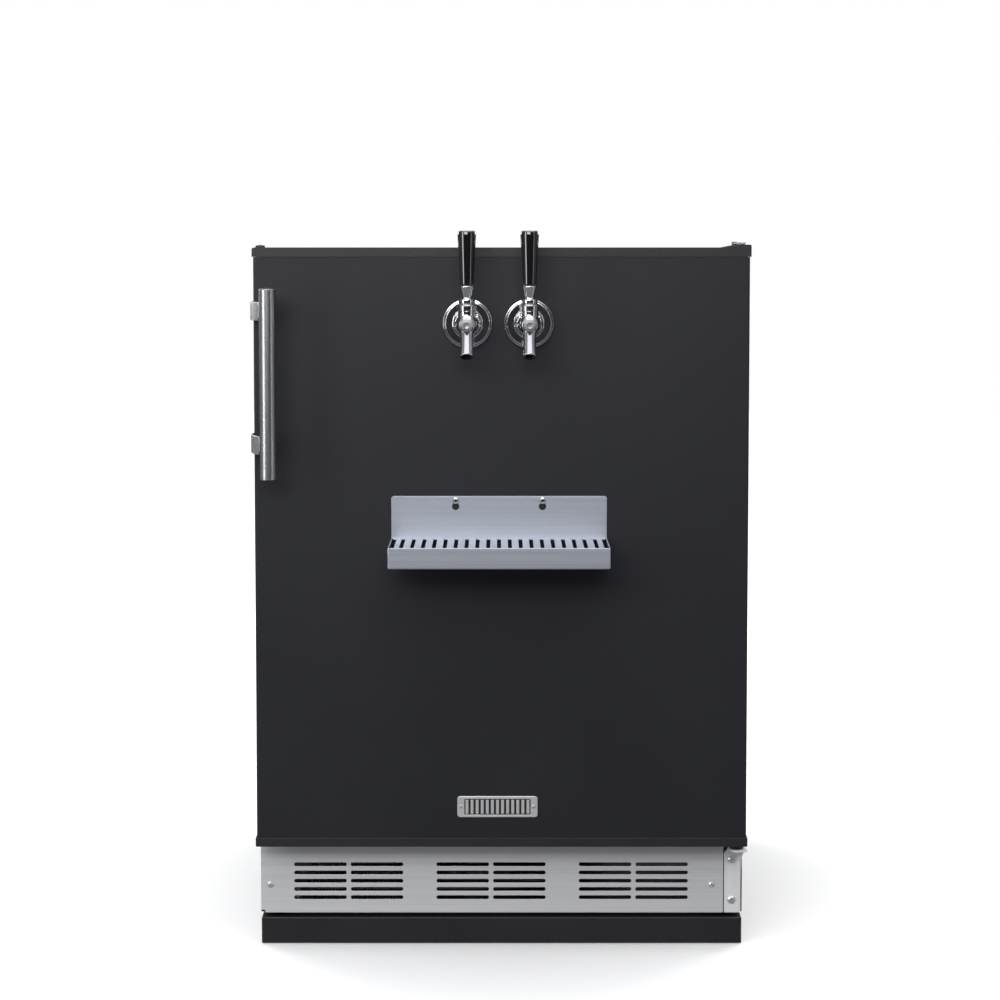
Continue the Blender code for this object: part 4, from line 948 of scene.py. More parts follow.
def tap(side):
    x = tap_places()[side]
    z = middle_of(*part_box(f"tap_shank_{side}"))[2]
    at = (x, FRONT_Y, z)
    flange = fillet(
        mm(
            (11.0, -7.0), (17.5, -7.0), (18.4, -5.4, 0.4), (26.2, -5.4, 0.7), (26.9, -4.8, 0.2),
            (27.4, -4.8, 0.1), (28.0, -5.2, 0.3), (29.3, -5.0, 0.8), (30.0, -3.4, 0.8), (30.0, -0.3),
            (11.0, -0.3),
        ),
        1.0 * MM, 4,
    )
    piece(
        f"tap_flange_{side}", turned(flange, "Y", at, 80, ring=True), "chrome", "door",
        node=f"tap_shank_{side}",
    )
    thread = [(3, -32), (11, -32)]
    thread += [(11.0 if i % 2 else 10.3, -31.5 + i * 0.75) for i in range(33)]
    thread += [(11, -6), (11, 38)]
    thread += [(11.0 if i % 2 else 10.3, 38.5 + i * 0.75) for i in range(31)]
    thread += [
        (10.5, 62), (4.5, 64), (4.5, 70), (5.4, 71), (4.5, 73), (5.4, 74), (4.5, 76), (5.4, 77), (4.5, 79),
        (4.5, 84), (3, 84),
    ]
    piece(f"tap_shank_tube_{side}", turned(mm(*thread), "Y", at, 40, ring=True), "chrome", "door", sharp=30)
    nut = boolean(
        prism(ring_loop(x, z, 19 * MM, 6), "Y", FRONT_Y + 39 * MM, FRONT_Y + 46.8 * MM),
        "DIFFERENCE", turned([(11.1 * MM, 0), (11.1 * MM, 0.1)], "Y", at, 40),
    )
    piece(f"tap_back_nut_{side}", nut, "brass", "door", bevel=0.8 * MM)

    outline = []
    for i in range(96):
        a = 2 * math.pi * i / 96
        r = (16.5 - 1.5 * max(0.0, math.cos(8 * a) - 0.55) / 0.45) * MM
        outline.append((r * math.cos(a), r * math.sin(a)))
    rows = []
    for along, grow in (
        (-36, 0.84), (-35.4, 0.9), (-33.5, 0.985), (-33, 1.0), (-20.5, 1.0), (-19.6, 0.98), (-17.4, 0.9),
        (-17, 0.86),
    ):
        rows.append([(x + a * grow, FRONT_Y + along * MM, z + b * grow) for a, b in outline])
    nut = boolean(skin(rows), "DIFFERENCE", turned([(11.3 * MM, -0.05), (11.3 * MM, 0)], "Y", at, 40))
    piece(f"tap_coupling_{side}", nut, "chrome", "door", node=f"coupling_nut_{side}", sharp=50)

    # the cast body: barrel, spout and neck melted together
    lever_y = middle_of(*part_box(f"tap_handle_{side}"))[1]
    barrel = turned(
        mm(
            (0, -36.3), (10.8, -36.3), (10.8, -41), (11.6, -44), (12.3, -48), (12.6, -52), (12.7, -56),
            (12.5, -60), (12.0, -64), (11.0, -67), (9.6, -69.3), (8.2, -70.5), (0, -70.5),
        ),
        "Y", at, 64,
    )

    def dog_slot():
        """Room for the lever's dog and the valve to travel."""
        return box((x - 3 * MM, lever_y - 3.2 * MM, z), (x + 3 * MM, lever_y + 9.8 * MM, 797 * MM))

    lean = Matrix.Translation((x, FRONT_Y - 59 * MM, z)) @ Matrix.Rotation(-math.radians(28), 4, "X")
    spout = moved(
        turned(
            mm((0, 0), (9.5, -4), (8.0, -12), (7.3, -19), (7.3, -25), (7.9, -34), (8.5, -41.8), (0, -41.8)),
            "Z", (0, 0, 0), 56,
        ),
        lean,
    )
    neck = turned(
        mm((0, 0), (11.2, 4), (10.7, 11), (10.5, 14), (10.5, 17.2), (0, 17.2)), "Z", (x, lever_y, z), 56,
    )
    body = scratch(boolean(barrel, "UNION", spout, neck))
    remesh = body.modifiers.new("melt", "REMESH")
    remesh.mode = "VOXEL"
    remesh.voxel_size = 0.62 * MM
    soften = body.modifiers.new("soften", "SMOOTH")
    soften.factor = 0.5
    soften.iterations = 14
    body = evaluated(body)
    bore = moved(turned(mm((6.4, -31), (6.9, -60)), "Z", (0, 0, 0), 40), lean)
    well = turned(mm((7.1, 14), (7.1, 40)), "Z", (x, lever_y, z), 40)
    chamber = turned(mm((7, -68), (7, -20)), "Y", at, 40)
    body = boolean(body, "DIFFERENCE", bore, well, chamber, dog_slot())
    piece(f"tap_body_{side}", body, "tap_metal", "door", node=f"faucet_body_{side}", sharp=50, level=False)
    # A black sleeve in the spout's bore: painted shade, the bore's inside drawn dark
    inside = moved(
        turned(
            mm((0, -30.9), (6.35, -30.9), (6.6, -39.6), (6.2, -39.6), (5.9, -31.3), (0, -31.3)), "Z",
            (0, 0, 0), 40,
        ),
        lean,
    )
    piece(f"tap_spout_shade_sleeve_{side}", inside, "machine_black", "door")

    knob = fillet(
        mm(
            (0, -70), (7.6, -70), (7.6, -71.4), (6.9, -72.2), (6.9, -73), (8.2, -74.2), (8.2, -77.2),
            (7.2, -78.8), (3.4, -79), (2.8, -78.3), (0, -78.3),
        ),
        0.4 * MM, 3, False,
    )
    piece(f"tap_face_nut_{side}", turned(knob, "Y", at, 56), "steel_upright", "door", sharp=60)
    bonnet = fillet(
        mm(
            (7.15, 16.2), (10.5, 16.2), (10.9, 17.0), (11.0, 18.4), (11.0, 22.6), (10.5, 24.0), (9.0, 24.4),
            (9.0, 25.1), (9.7, 25.6), (9.8, 26.6), (9.8, 29.0), (9.6, 30), (9.35, 30), (7.15, 27),
        ),
        0.3 * MM, 3,
    )
    bonnet = boolean(turned(bonnet, "Z", (x, lever_y, z), 64, ring=True), "DIFFERENCE", dog_slot())
    piece(f"tap_bonnet_{side}", bonnet, "tap_metal", "door", sharp=60)

    pivot = 803.5
    lever = [(0, pivot - 8), (2.3, pivot - 8), (2.3, pivot - 6)]
    for degrees in range(-68, 1, 8):
        a = math.radians(degrees)
        lever.append((6.4 * math.cos(a), pivot + 6.4 * math.sin(a)))
    lever += [(6.2, 804.4), (5.2, 805.2), (4.9, 806.0), (5.0, 807.0)]
    lever += [(7.9, 817.8), (8.25, 818.6), (8.25, 819.6), (7.8, 820.1), (0, 820.1)]
    piece(
        f"tap_ferrule_{side}", turned(mm(*lever), "Z", (x, lever_y, 0), 64), "chrome", f"tap_lever_{side}",
        node=f"tap_lever_{side}", sharp=50,
    )
    grip = fillet(
        mm(
            (0, 820.3), (7.6, 820.3, 0.3), (8.2, 822, 0.8), (9.3, 846, 20), (11.0, 880.5, 2),
            (10.7, 884.2, 1.6), (8.0, 884.95, 2), (0, 885),
        ),
        1 * MM, 6, False,
    )
    piece(
        f"tap_grip_{side}", turned(grip, "Z", (x, lever_y, 0), 80), "gloss_black", f"tap_lever_{side}",
        node=f"tap_handle_{side}", sharp=60,
    )
    paint_node(f"valve_shaft_{side}", "chrome")


def taps():
    for side in ("left", "right"):
        tap(side)


# ---- cabinet outside ----
def arch(inset, low_z, r, steps=6):
    """The cabinet's outline from its left foot over the top to its right foot, moved inwards by inset."""
    x, top = WRAP_HIGH.x - inset, WRAP_HIGH.z - inset
    near = max(r - inset, 0.4 * MM)
    return fillet([(-x, low_z), (-x, top, near), (x, top, near), (x, low_z)], near, steps, closed=False)


def wrapper():
    sheet, flange, edge = 1.0 * MM, 12 * MM, 2.0 * MM
    section = [
        (flange, FACE_Y + sheet), (flange, FACE_Y + 0.2 * MM), (flange - 0.2 * MM, FACE_Y), (edge, FACE_Y),
    ]
    section += [
        (edge * (1 - math.sin(a)), FACE_Y + edge * (1 - math.cos(a)))
        for a in (math.radians(d) for d in (22, 45, 68, 90))
    ]
    section += [
        (0, BACK_Y - 0.4 * MM), (0.3 * MM, BACK_Y), (sheet, BACK_Y), (sheet, FACE_Y + sheet + edge),
        (edge + sheet, FACE_Y + sheet),
    ]
    rows = [[(x, y, z) for x, z in arch(inset, WRAP_LOW.z, 5 * MM)] for inset, y in section]
    piece(
        "cabinet_shell", skin(rows, wrap_rows=True, wrap_cols=False), "cabinet_paint",
        node="cabinet_wrapper", sharp=50,
    )


def back_panel():
    low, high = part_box("back_panel")
    z = (low.z + high.z) / 2
    wide, tall = high.x - low.x, high.z - low.z
    rows = []
    for inset, y in (
        (0, low.y), (0, high.y - 0.3 * MM), (0.3, high.y), (26, high.y), (29, high.y - 0.3 * MM),
        (33, high.y - 1.0 * MM), (60, high.y - 1.0 * MM),
    ):
        cut = 2 * inset * MM
        loop = rounded_rect(0, z, wide - cut, tall - cut, 14 * MM if inset > 20 else 1.5 * MM, 4)
        rows.append([(a, y, b) for a, b in loop])
    piece("back_sheet", skin(rows), "zinc", node="back_panel", sharp=50)
    for i, (sx, sz) in enumerate(
        [(a, b) for a in (-0.285, 0.0, 0.285) for b in (low.z + 0.012, high.z - 0.012)]
    ):
        head = screw_head((sx, high.y - 0.1 * MM, sz), "Y", 1, 3.6 * MM, 1.7 * MM)
        piece(f"back_sheet_screw_{i}", head, "zinc")
    plug = soft_turned(
        mm((0, -1.2), (11, -1.2), (10, 1.2), (0, 1.8)), "Y", (0.16, high.y, 0.47), 0.6 * MM, 40,
    )
    piece("gas_line_plug", plug, "black_plastic")


def kick_panel():
    low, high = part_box("kick_grille")
    sheet = high.y - low.y
    notch = 3.4 * MM
    outline = fillet(
        [
            (low.x, low.z + notch, 0.6 * MM), (low.x + 5 * MM, low.z + notch, 0.6 * MM),
            (low.x + 5 * MM, low.z, 0.8 * MM), (high.x - 0.5 * MM, low.z, 1 * MM),
            (high.x - 0.5 * MM, high.z, 1 * MM), (low.x, high.z, 1.4 * MM),
        ],
        1 * MM, 3,
    )
    loops = [outline]
    slot_long, slot_wide, column_gap = 65 * MM, 4.7 * MM, 5.3 * MM
    for group in (-1, 0, 1):
        for column in SIDES:
            x = -13 * MM + group * 176.8 * MM + column * (slot_long + column_gap) / 2
            for row in range(5):
                loops.append(slot_loop(x, (58.6 + row * 10.4) * MM, slot_long, slot_wide, 5))
    screws = {side: (-13 + side * 274) * MM for side in SIDES}
    screw_z = 74.8 * MM
    loops += [ring_loop(x, screw_z, 2.2 * MM, 20) for x in screws.values()]
    face = plate(loops, sheet, 0.35 * MM, "Y", (low.y + high.y) / 2)
    piece("kick_panel_face", face, "kick_steel", node="kick_grille")
    folds = joined(
        box(
            (low.x + 6 * MM, high.y - 0.2 * MM, high.z - 1.1 * MM),
            (high.x - 2 * MM, high.y + 0.9 * MM, high.z - 0.1 * MM),
        ),
        box(
            (low.x + 6 * MM, high.y - 0.2 * MM, low.z + 0.1 * MM),
            (high.x - 2 * MM, high.y + 0.9 * MM, low.z + 1.1 * MM),
        ),
    )
    piece("kick_panel_folds", folds, "kick_steel", bevel=0.2 * MM)
    for side, x in screws.items():
        head = screw_head((x, low.y + 0.1 * MM, screw_z), "Y", -1, 3.9 * MM, 2.0 * MM)
        piece(f"kick_screw_{SIDE_NAMES[side]}", head, "screw_steel")


def toe_kick():
    low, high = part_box("toe_kick")
    front, side, sheet, back = low.y, high.x, 1.5 * MM, high.y
    plinth_top = 33.5 * MM
    edge = 1.6 * MM
    # a channel bent round three sides: its section is swept along a U in plan
    section = [(0, low.z), (0, plinth_top - edge)]
    section += [
        (edge * (1 - math.cos(a)), plinth_top - edge * (1 - math.sin(a)))
        for a in (math.radians(d) for d in (30, 60, 90))
    ]
    section += [
        (30 * MM, plinth_top), (30 * MM, plinth_top - sheet), (sheet, plinth_top - sheet), (sheet, low.z),
    ]

    def plan(inset):
        x, y = side - inset, front + inset
        r = max(2.4 * MM - inset, 0.3 * MM)
        return fillet([(-x, back), (-x, y, r), (x, y, r), (x, back)], r, 4, closed=False)

    rows = [[(x, y, z) for x, y in plan(inset)] for inset, z in section]
    piece(
        "toe_kick_channel", skin(rows, wrap_rows=True, wrap_cols=False), "toe_paint", node="toe_kick",
        sharp=50,
    )
    tabs = [
        box((x, y, plinth_top - 1 * MM), (x + 6 * MM, y + 0.03, 39.7 * MM))
        for x in (-0.296, 0.290) for y in (-0.15, 0.28)
    ]
    piece("toe_kick_tabs", joined(*tabs), "toe_paint", bevel=0.4 * MM)


def feet():
    for end in ("front", "back"):
        for side in ("left", "right"):
            node = f"leveling_foot_{end}_{side}"
            body = f"foot_{end}_{side}"
            x, y, _ = middle_of(*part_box(node))
            pad = mm(
                (0, 0.0), (17.0, 0.0), (18, 0.8), (18, 3.4), (17.2, 4.4), (12, 5.6), (9.4, 7.0), (0, 7.0),
            )
            pad = turned(pad, "Z", (x, y, 0), 48)
            piece(f"foot_pad_{end}_{side}", pad, "black_plastic", body, node=node, sharp=50)
            nut = prism(ring_loop(x, y, 9.6 * MM, 6), "Z", 6.8 * MM, 13 * MM)
            piece(f"foot_nut_{end}_{side}", nut, "zinc", body, bevel=0.5 * MM)
            stud = [(0, 12.8), (5, 12.8)]
            stud += [(5.0 if i % 2 else 4.3, 13.2 + 0.75 * i) for i in range(64)]
            stud += [(4, 61.4), (0, 61.9)]
            stud = turned(mm(*stud), "Z", (x, y, 0), 28)
            piece(f"foot_stud_{end}_{side}", stud, "screw_steel", body, sharp=25)


# ---- hinges ----
def lower_hinge():
    low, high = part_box("lower_hinge_bracket")
    back = FACE_Y - GAP
    front = back - 2.4 * MM
    left, right = low.x + 0.2 * MM, 0.297
    tongue_low, tongue_high = 124.2 * MM, 127 * MM
    outline = fillet(
        [
            (left, low.z), (right, low.z), (right, tongue_high - 1 * MM),
            (left + 8.5 * MM, tongue_high - 1 * MM), (left, tongue_high - 12 * MM, 1 * MM),
        ],
        1.6 * MM, 4,
    )
    holes = [ring_loop(285.5 * MM, z * MM, 2.6 * MM, 20) for z in (106.3, 55.9)]
    piece(
        "hinge_plate", plate([outline, *holes], 2.4 * MM, 0.5 * MM, "Y", (front + back) / 2), "hinge_steel",
        node="lower_hinge_bracket",
    )
    reach = low.y
    tongue = fillet(
        [
            (281 * MM, back - 1 * MM), (281 * MM, reach + 7 * MM, 5 * MM), (286 * MM, reach, 5 * MM),
            (298 * MM, reach, 3 * MM), (302 * MM, reach + 4 * MM, 3 * MM), (right, back - 1 * MM),
        ],
        1 * MM, 5,
    )
    hole = ring_loop(PIN_X, PIN_Y, 4.1 * MM, 28)
    piece(
        "hinge_tongue",
        plate([tongue, hole], tongue_high - tongue_low, 0.6 * MM, "Z", (tongue_low + tongue_high) / 2),
        "hinge_steel",
    )
    pin = soft_turned(
        [
            (0, tongue_low - 0.6 * MM), (4.05 * MM, tongue_low - 0.6 * MM), (4.0 * MM, 143.2 * MM),
            (0, 144 * MM),
        ],
        "Z", (PIN_X, PIN_Y, 0), 0.8 * MM, 32,
    )
    piece("hinge_pin_lower", pin, "zinc")

    # the gusset: a web that curves forward as it rises and flares outwards
    web_low, web_high, steps, thick = 82 * MM, tongue_low + 0.6 * MM, 16, 2.2 * MM
    rows = []
    for i in range(steps + 1):
        s = i / steps
        z = web_low + (web_high - web_low) * s
        depth = (front - reach - 0.6 * MM) * (1 - math.sqrt(max(1 - (0.995 * s) ** 2, 0)))
        row = []
        for offset in (0, thick):
            cells = [front + 0.5 * MM - (depth + 0.5 * MM) * j / 5 for j in range(6)]
            for y in cells if offset == 0 else cells[::-1]:
                ahead = max(0.0, (front - y) / (front - reach))
                row.append((right - offset + 4.6 * MM * ahead**1.5, y, z))
        rows.append(row)
    piece("hinge_gusset", skin(rows), "hinge_steel", bevel=0.4 * MM)
    for name in ("bracket_screw_upper", "bracket_screw_lower"):
        shape = pan_screw(name, front - GAP, 5 * MM, 2.6 * MM, 2.3 * MM)
        piece(name + "_pan_head", shape, "screw_steel", node=name)


def upper_hinge():
    low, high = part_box("upper_hinge_plate")
    thick = 3 * MM
    riser, base = FACE_Y - 1.5 * MM, 860.3 * MM
    top = high.z
    outline = fillet(
        [
            (low.y, top - thick, 0.3 * MM), (riser, top - thick, 1 * MM), (riser, base, 1 * MM),
            (high.y, base, 0.3 * MM), (high.y, base + thick, 0.8 * MM),
            (riser + thick, base + thick, 1 * MM), (riser + thick, top, 2.5 * MM), (low.y, top, 0.8 * MM),
        ],
        1 * MM, 4,
    )
    strap = prism(outline, "X", low.x, high.x)
    for v in strap.verts:
        ahead = max(0.0, (low.y + 8 * MM - v.co.y) / (8 * MM))
        v.co.x = 289 * MM + (v.co.x - 289 * MM) * (1 - 0.35 * ahead**2)
    piece("hinge_strap_upper", strap, "zinc", node="upper_hinge_plate", bevel=0.5 * MM)
    pin = soft_turned(
        mm((0, 856), (3.6, 856), (4, 857), (4, 869.5), (0, 869.5)), "Z", (PIN_X, PIN_Y, 0), 0.5 * MM, 32,
    )
    piece("hinge_pin_upper", pin, "zinc")
    for i, y in enumerate((riser + 20 * MM, riser + 42 * MM)):
        head = screw_head((289 * MM, y, base + thick), "Z", 1, 4.6 * MM, 2.2 * MM)
        piece(f"hinge_strap_screw_{i}", head, "zinc")
    cover = fillet(
        [
            (-HALF + 9 * MM, base - GAP), (-HALF + 29 * MM, base - GAP), (-HALF + 27 * MM, base + 2.2 * MM),
            (-HALF + 11 * MM, base + 2.2 * MM),
        ],
        1 * MM, 3,
    )
    piece(
        "hinge_hole_cover", prism(cover, "Y", FACE_Y + 8 * MM, FACE_Y + 50 * MM), "cap_plastic",
        bevel=0.6 * MM,
    )


# ---- machine compartment ----
def fan_wheel(name, centre, hub_r, tip_r, deep, blades, body, node):
    x, y, z = centre
    parts = [
        turned(
            fillet(
                [(0, -deep / 2), (hub_r, -deep / 2), (hub_r, deep / 2), (0, deep / 2)], 1 * MM, 3, False,
            ),
            "Y", centre, 40,
        )
    ]
    for i in range(blades):
        grid = []
        for a in range(9):
            t = a / 8
            r = hub_r * 0.8 + (tip_r - hub_r * 0.8) * t
            spread = 0.42 + 0.16 * math.sin(math.pi * min(t * 1.1, 1.0))
            row = []
            for face in (-1, 1):
                steps = range(9) if face < 0 else range(8, -1, -1)
                for b in steps:
                    s = b / 8 - 0.5
                    angle = 2 * math.pi * i / blades + s * 2 * spread * (1.15 - 0.3 * t) + 0.25 * t
                    lift = s * deep * 0.72 + 0.10 * deep * math.sin(math.pi * (s + 0.5)) + face * 0.45 * MM
                    row.append((x + r * math.sin(angle), y + lift, z + r * math.cos(angle)))
            grid.append(row)
        parts.append(skin(grid))
    piece(name, joined(*parts), "black_plastic", body, node=node, sharp=50, level=False)


def condenser():
    # Fins, frame and tubes are black: partly the condenser's real black paint, partly painted shade so the kick
    # panel's slots look dark
    low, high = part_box("condenser")
    base = low.z + 10 * MM
    fins = []
    count = 74
    for i in range(count):
        x = -0.232 + (0.057 + 0.232) * i / (count - 1)
        fins.append(box((x - 0.2 * MM, -0.184, base - 4 * MM), (x + 0.2 * MM, -0.156, high.z - 1 * MM)))
    piece("condenser_fins", joined(*fins), "machine_black", node="condenser")
    ends = joined(
        box((-0.236, -0.186, low.z), (-0.2345, -0.154, high.z)),
        box((0.0595, -0.186, low.z), (0.061, -0.154, high.z)),
        box((-0.236, -0.186, low.z), (0.061, -0.154, low.z + 1.2 * MM)),
    )
    piece("condenser_frame", ends, "machine_black", bevel=0.2 * MM)
    for row, y in enumerate((-0.177, -0.163)):
        path = []
        for level in range(5):
            ends = (0.064, -0.240) if level % 2 else (-0.240, 0.064)
            path += [(x, y, 0.062 + 0.0125 * level) for x in ends]
        piece(
            f"condenser_tube_{row}", wire(path, 3.2 * MM, smooth=2), "machine_black",
            sharp=60,
        )


def condenser_fan():
    x, y, z = -88 * MM, -129 * MM, 86 * MM
    low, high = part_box("fan_shroud")
    outline = rounded_rect(x, (low.z + high.z) / 2, high.x - low.x, high.z - low.z, 5 * MM, 4)
    face = plate([outline, ring_loop(x, z, 37 * MM, 56)], 2.4 * MM, 0.5 * MM, "Y", y - 10.6 * MM)
    tube = turned(mm((37, -11.6), (39, -11.6), (39, 11), (37, 11)), "Y", (x, y, z), 56, ring=True)
    piece("fan_shroud_ring", joined(face, tube), "black_plastic", node="fan_shroud")
    arms = [
        turned(fillet(mm((0, 8.5), (15, 8.5), (15, 20), (0, 20)), 1.5 * MM, 3, False), "Y", (x, y, z), 40)
    ]
    for turn in (45, 135, 225, 315):
        a = math.radians(turn)
        ends = [(x + r * MM * math.cos(a), y + 10 * MM, z + r * MM * math.sin(a)) for r in (12, 38)]
        arms.append(wire(ends, 1.6 * MM))
    piece("fan_motor", joined(*arms), "machine_black")
    fan_wheel(
        "condenser_fan_wheel", (x, y, z), 12 * MM, 34 * MM, 14 * MM, 5, "condenser_fan", "condenser_fan",
    )


def compressor():
    low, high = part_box("compressor")
    cx, cy = 0.06, 0.2945
    shell = fillet(
        [
            (0, 50), (30, 50), (44, 58), (47.0, 76), (47.0, 131.6), (50.0, 132.6), (50.0, 139.4),
            (47.0, 140.6), (47.0, 180), (41, 203), (24, 212), (0, 212.4),
        ],
        9, 5, False,
    )
    can = turned([(r * MM, h * MM) for r, h in shell], "Z", (0, 0, 0), 72)
    for v in can.verts:
        v.co = Vector((cx + v.co.x * 1.6, cy + v.co.y, v.co.z))
    piece("compressor_shell", can, "machine_black", node="compressor", sharp=60)
    mount = plate(
        [rounded_rect(cx, cy, high.x - low.x + 4 * MM, high.y - low.y, 8 * MM, 4)], 3 * MM, 0.5 * MM, "Z",
        50 * MM,
    )
    piece("compressor_base", mount, "zinc")
    for i, (fx, fy) in enumerate([(a, b) for a in (-0.03, 0.15) for b in (0.262, 0.322)]):
        mount = soft_turned(mm((0, 0), (9, 0), (7, 4), (9, 7.5), (0, 7.5)), "Z", (fx, fy, low.z), 1 * MM, 28)
        piece(f"compressor_mount_{i}", mount, "rubber")
        bolt = screw_head((fx, fy, 51.4 * MM), "Z", 1, 5 * MM, 3 * MM)
        piece(f"compressor_bolt_{i}", bolt, "zinc")
    cover = prism(rounded_rect(cy, 0.112, 0.046, 0.056, 6 * MM, 4), "X", cx + 0.066, cx + 0.094)
    piece("compressor_terminal_cover", cover, "black_plastic", bevel=2 * MM, steps=3)
    # The first line runs to the condenser at the front and is black: painted shade seen through the kick panel's
    # slots; the others are copper
    for i, route in enumerate(
        (
            [
                (-0.002, 0.318, 0.150), (-0.035, 0.322, 0.150), (-0.05, 0.322, 0.120), (-0.05, 0.322, 0.09),
                (-0.10, 0.315, 0.075), (-0.19, 0.30, 0.075), (-0.22, 0.2, 0.075), (-0.235, 0.0, 0.075),
                (-0.245, -0.15, 0.07), (-0.241, -0.163, 0.062),
            ],
            [
                (-0.002, 0.275, 0.160), (-0.04, 0.272, 0.165), (-0.06, 0.272, 0.15), (-0.07, 0.265, 0.11),
                (-0.14, 0.262, 0.105), (-0.2, 0.262, 0.11), (-0.2, 0.262, 0.2), (-0.2, 0.300, 0.236),
            ],
            [(0.02, 0.330, 0.166), (-0.01, 0.338, 0.17), (-0.03, 0.338, 0.18), (-0.035, 0.338, 0.20)],
        )
    ):
        piece(
            f"refrigerant_line_{i}", wire(route, (3.2, 4.0, 3.2)[i] * MM, smooth=3, sides=3),
            ("machine_black", "copper", "copper")[i], sharp=60,
        )
    drier = soft_turned(
        mm((0, -38), (4, -38), (9, -30), (9, 30), (4, 38), (0, 38)), "Y", (-0.238, 0.08, 0.075), 3 * MM, 32,
    )
    piece("filter_drier", drier, "machine_black", sharp=60)


def evaporation_tray():
    low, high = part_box("evaporation_pan")
    px, py, _ = middle_of(low, high)
    wide, deep = high.x - low.x, high.y - low.y
    rows = []
    for inset, pz in (
        (6, low.z), (2.4, low.z + 1.2 * MM), (1.6, low.z + 4 * MM), (0.9, high.z - 1.5 * MM),
        (0, high.z - 1.2 * MM), (0, high.z), (2.2, high.z), (3.2, low.z + 4 * MM), (4.4, low.z + 2.4 * MM),
        (8, low.z + 1.8 * MM),
    ):
        rows.append(
            [
                (a, b, pz)
                for a, b in rounded_rect(px, py, wide - 2 * inset * MM, deep - 2 * inset * MM, 9 * MM, 4)
            ]
        )
    piece("evaporation_tray", skin(rows), "black_plastic", node="evaporation_pan", sharp=60)


def power_socket():
    low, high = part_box("power_inlet")
    ix, _, iz = middle_of(low, high)
    body = prism(rounded_rect(ix, iz, high.x - low.x, high.z - low.z, 3 * MM, 3), "Y", low.y, high.y)
    socket_z = 66 * MM
    mouth = mm((-11.5, -7.5, 2), (11.5, -7.5, 2), (11.5, 2, 1), (6.5, 8, 1), (-6.5, 8, 1), (-11.5, 2, 1))
    mouth = fillet([(ix + a, socket_z + b, r) for a, b, r in mouth], 1 * MM, 3)
    pocket = prism(mouth, "Y", high.y - 13 * MM, high.y + 1 * MM)
    piece(
        "power_socket", boolean(body, "DIFFERENCE", pocket), "black_plastic", node="power_inlet",
        bevel=0.6 * MM,
    )
    pins = []
    for dx, dz in mm((-7, -1.5), (0, 2.5), (7, -1.5)):
        a, b = ix + dx, socket_z + dz
        pins.append(
            box((a - 1 * MM, high.y - 13.5 * MM, b - 2 * MM), (a + 1 * MM, high.y - 3 * MM, b + 2 * MM))
        )
    piece("power_socket_pins", joined(*pins), "brass", bevel=0.3 * MM)
    paint_node("base_frame", "machine_black", 0.3 * MM)


# ---- keg compartment ----
def inner_liner():
    half, floor_z, top_z, back_y, wall = 0.259, 0.165, 0.818, 0.306, 2.5 * MM
    step_y, step_z, r = back_y - 90 * MM, floor_z + 100 * MM, 11 * MM

    def side_path(inset):
        return fillet(
            [
                (FACE_Y + wall, floor_z + inset), (step_y - inset, floor_z + inset),
                (step_y - inset, step_z + inset), (back_y - inset, step_z + inset),
                (back_y - inset, top_z - inset), (FACE_Y + wall, top_z - inset),
            ],
            r, 5, closed=False,
        )

    stations = [
        (half - r * (1 - math.cos(a)), r * (1 - math.sin(a)))
        for a in (math.radians(d) for d in (0, 20, 40, 60, 75, 90))
    ]
    xs = [(-x, inset) for x, inset in stations] + [(x, inset) for x, inset in stations[::-1]]
    bm = bmesh.new()
    rows = [[bm.verts.new((x, y, z)) for y, z in side_path(inset)] for x, inset in xs]
    for one, two in zip(rows, rows[1:]):
        for i in range(len(one) - 1):
            bm.faces.new((one[i], one[i + 1], two[i + 1], two[i]))
    bm.faces.new(rows[0])
    bm.faces.new(rows[-1][::-1])
    bmesh.ops.recalc_face_normals(bm, faces=bm.faces)
    if sum(f.normal.y * f.calc_area() for f in bm.faces) > 0:
        bmesh.ops.reverse_faces(bm, faces=bm.faces)
    shell = scratch(bm)
    thick = shell.modifiers.new("wall", "SOLIDIFY")
    thick.thickness = wall
    thick.offset = -1.0
    piece("liner_shell", evaluated(shell), "liner", node="inner_liner", sharp=50)
    low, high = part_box("inner_liner")
    outline = rounded_rect(0, (low.z + high.z) / 2, 2 * high.x, high.z - low.z, 4 * MM, 4)
    mouth = rounded_rect(0, (floor_z + top_z) / 2, 2 * half, top_z - floor_z, 4 * MM, 4)
    piece("liner_flange", plate([outline, mouth], wall, 0.5 * MM, "Y", FACE_Y + wall / 2), "liner")
    for side in SIDES:
        for z in (0.34, 0.49, 0.64):
            rib = [(side * (half + a), z + b) for a, b in mm((0.5, -5), (-3.2, -2.2), (-3.2, 2.2), (0.5, 5))]
            rib = prism(fillet(rib, 1.5 * MM, 3), "Y", -0.16, 0.16)
            piece(f"liner_rib_{SIDE_NAMES[side]}_{round(z * 100)}", rib, "liner", bevel=0.9 * MM)


def keg_floor():
    low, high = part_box("keg_floor_plate")
    x, y, z = middle_of(low, high)
    outline = rounded_rect(x, y, high.x - low.x, high.y - low.y, 10 * MM, 5)
    base = plate([outline], high.z - low.z, 0.3 * MM, "Z", z)
    piece("keg_floor_sheet", base, "steel_level", node="keg_floor_plate")


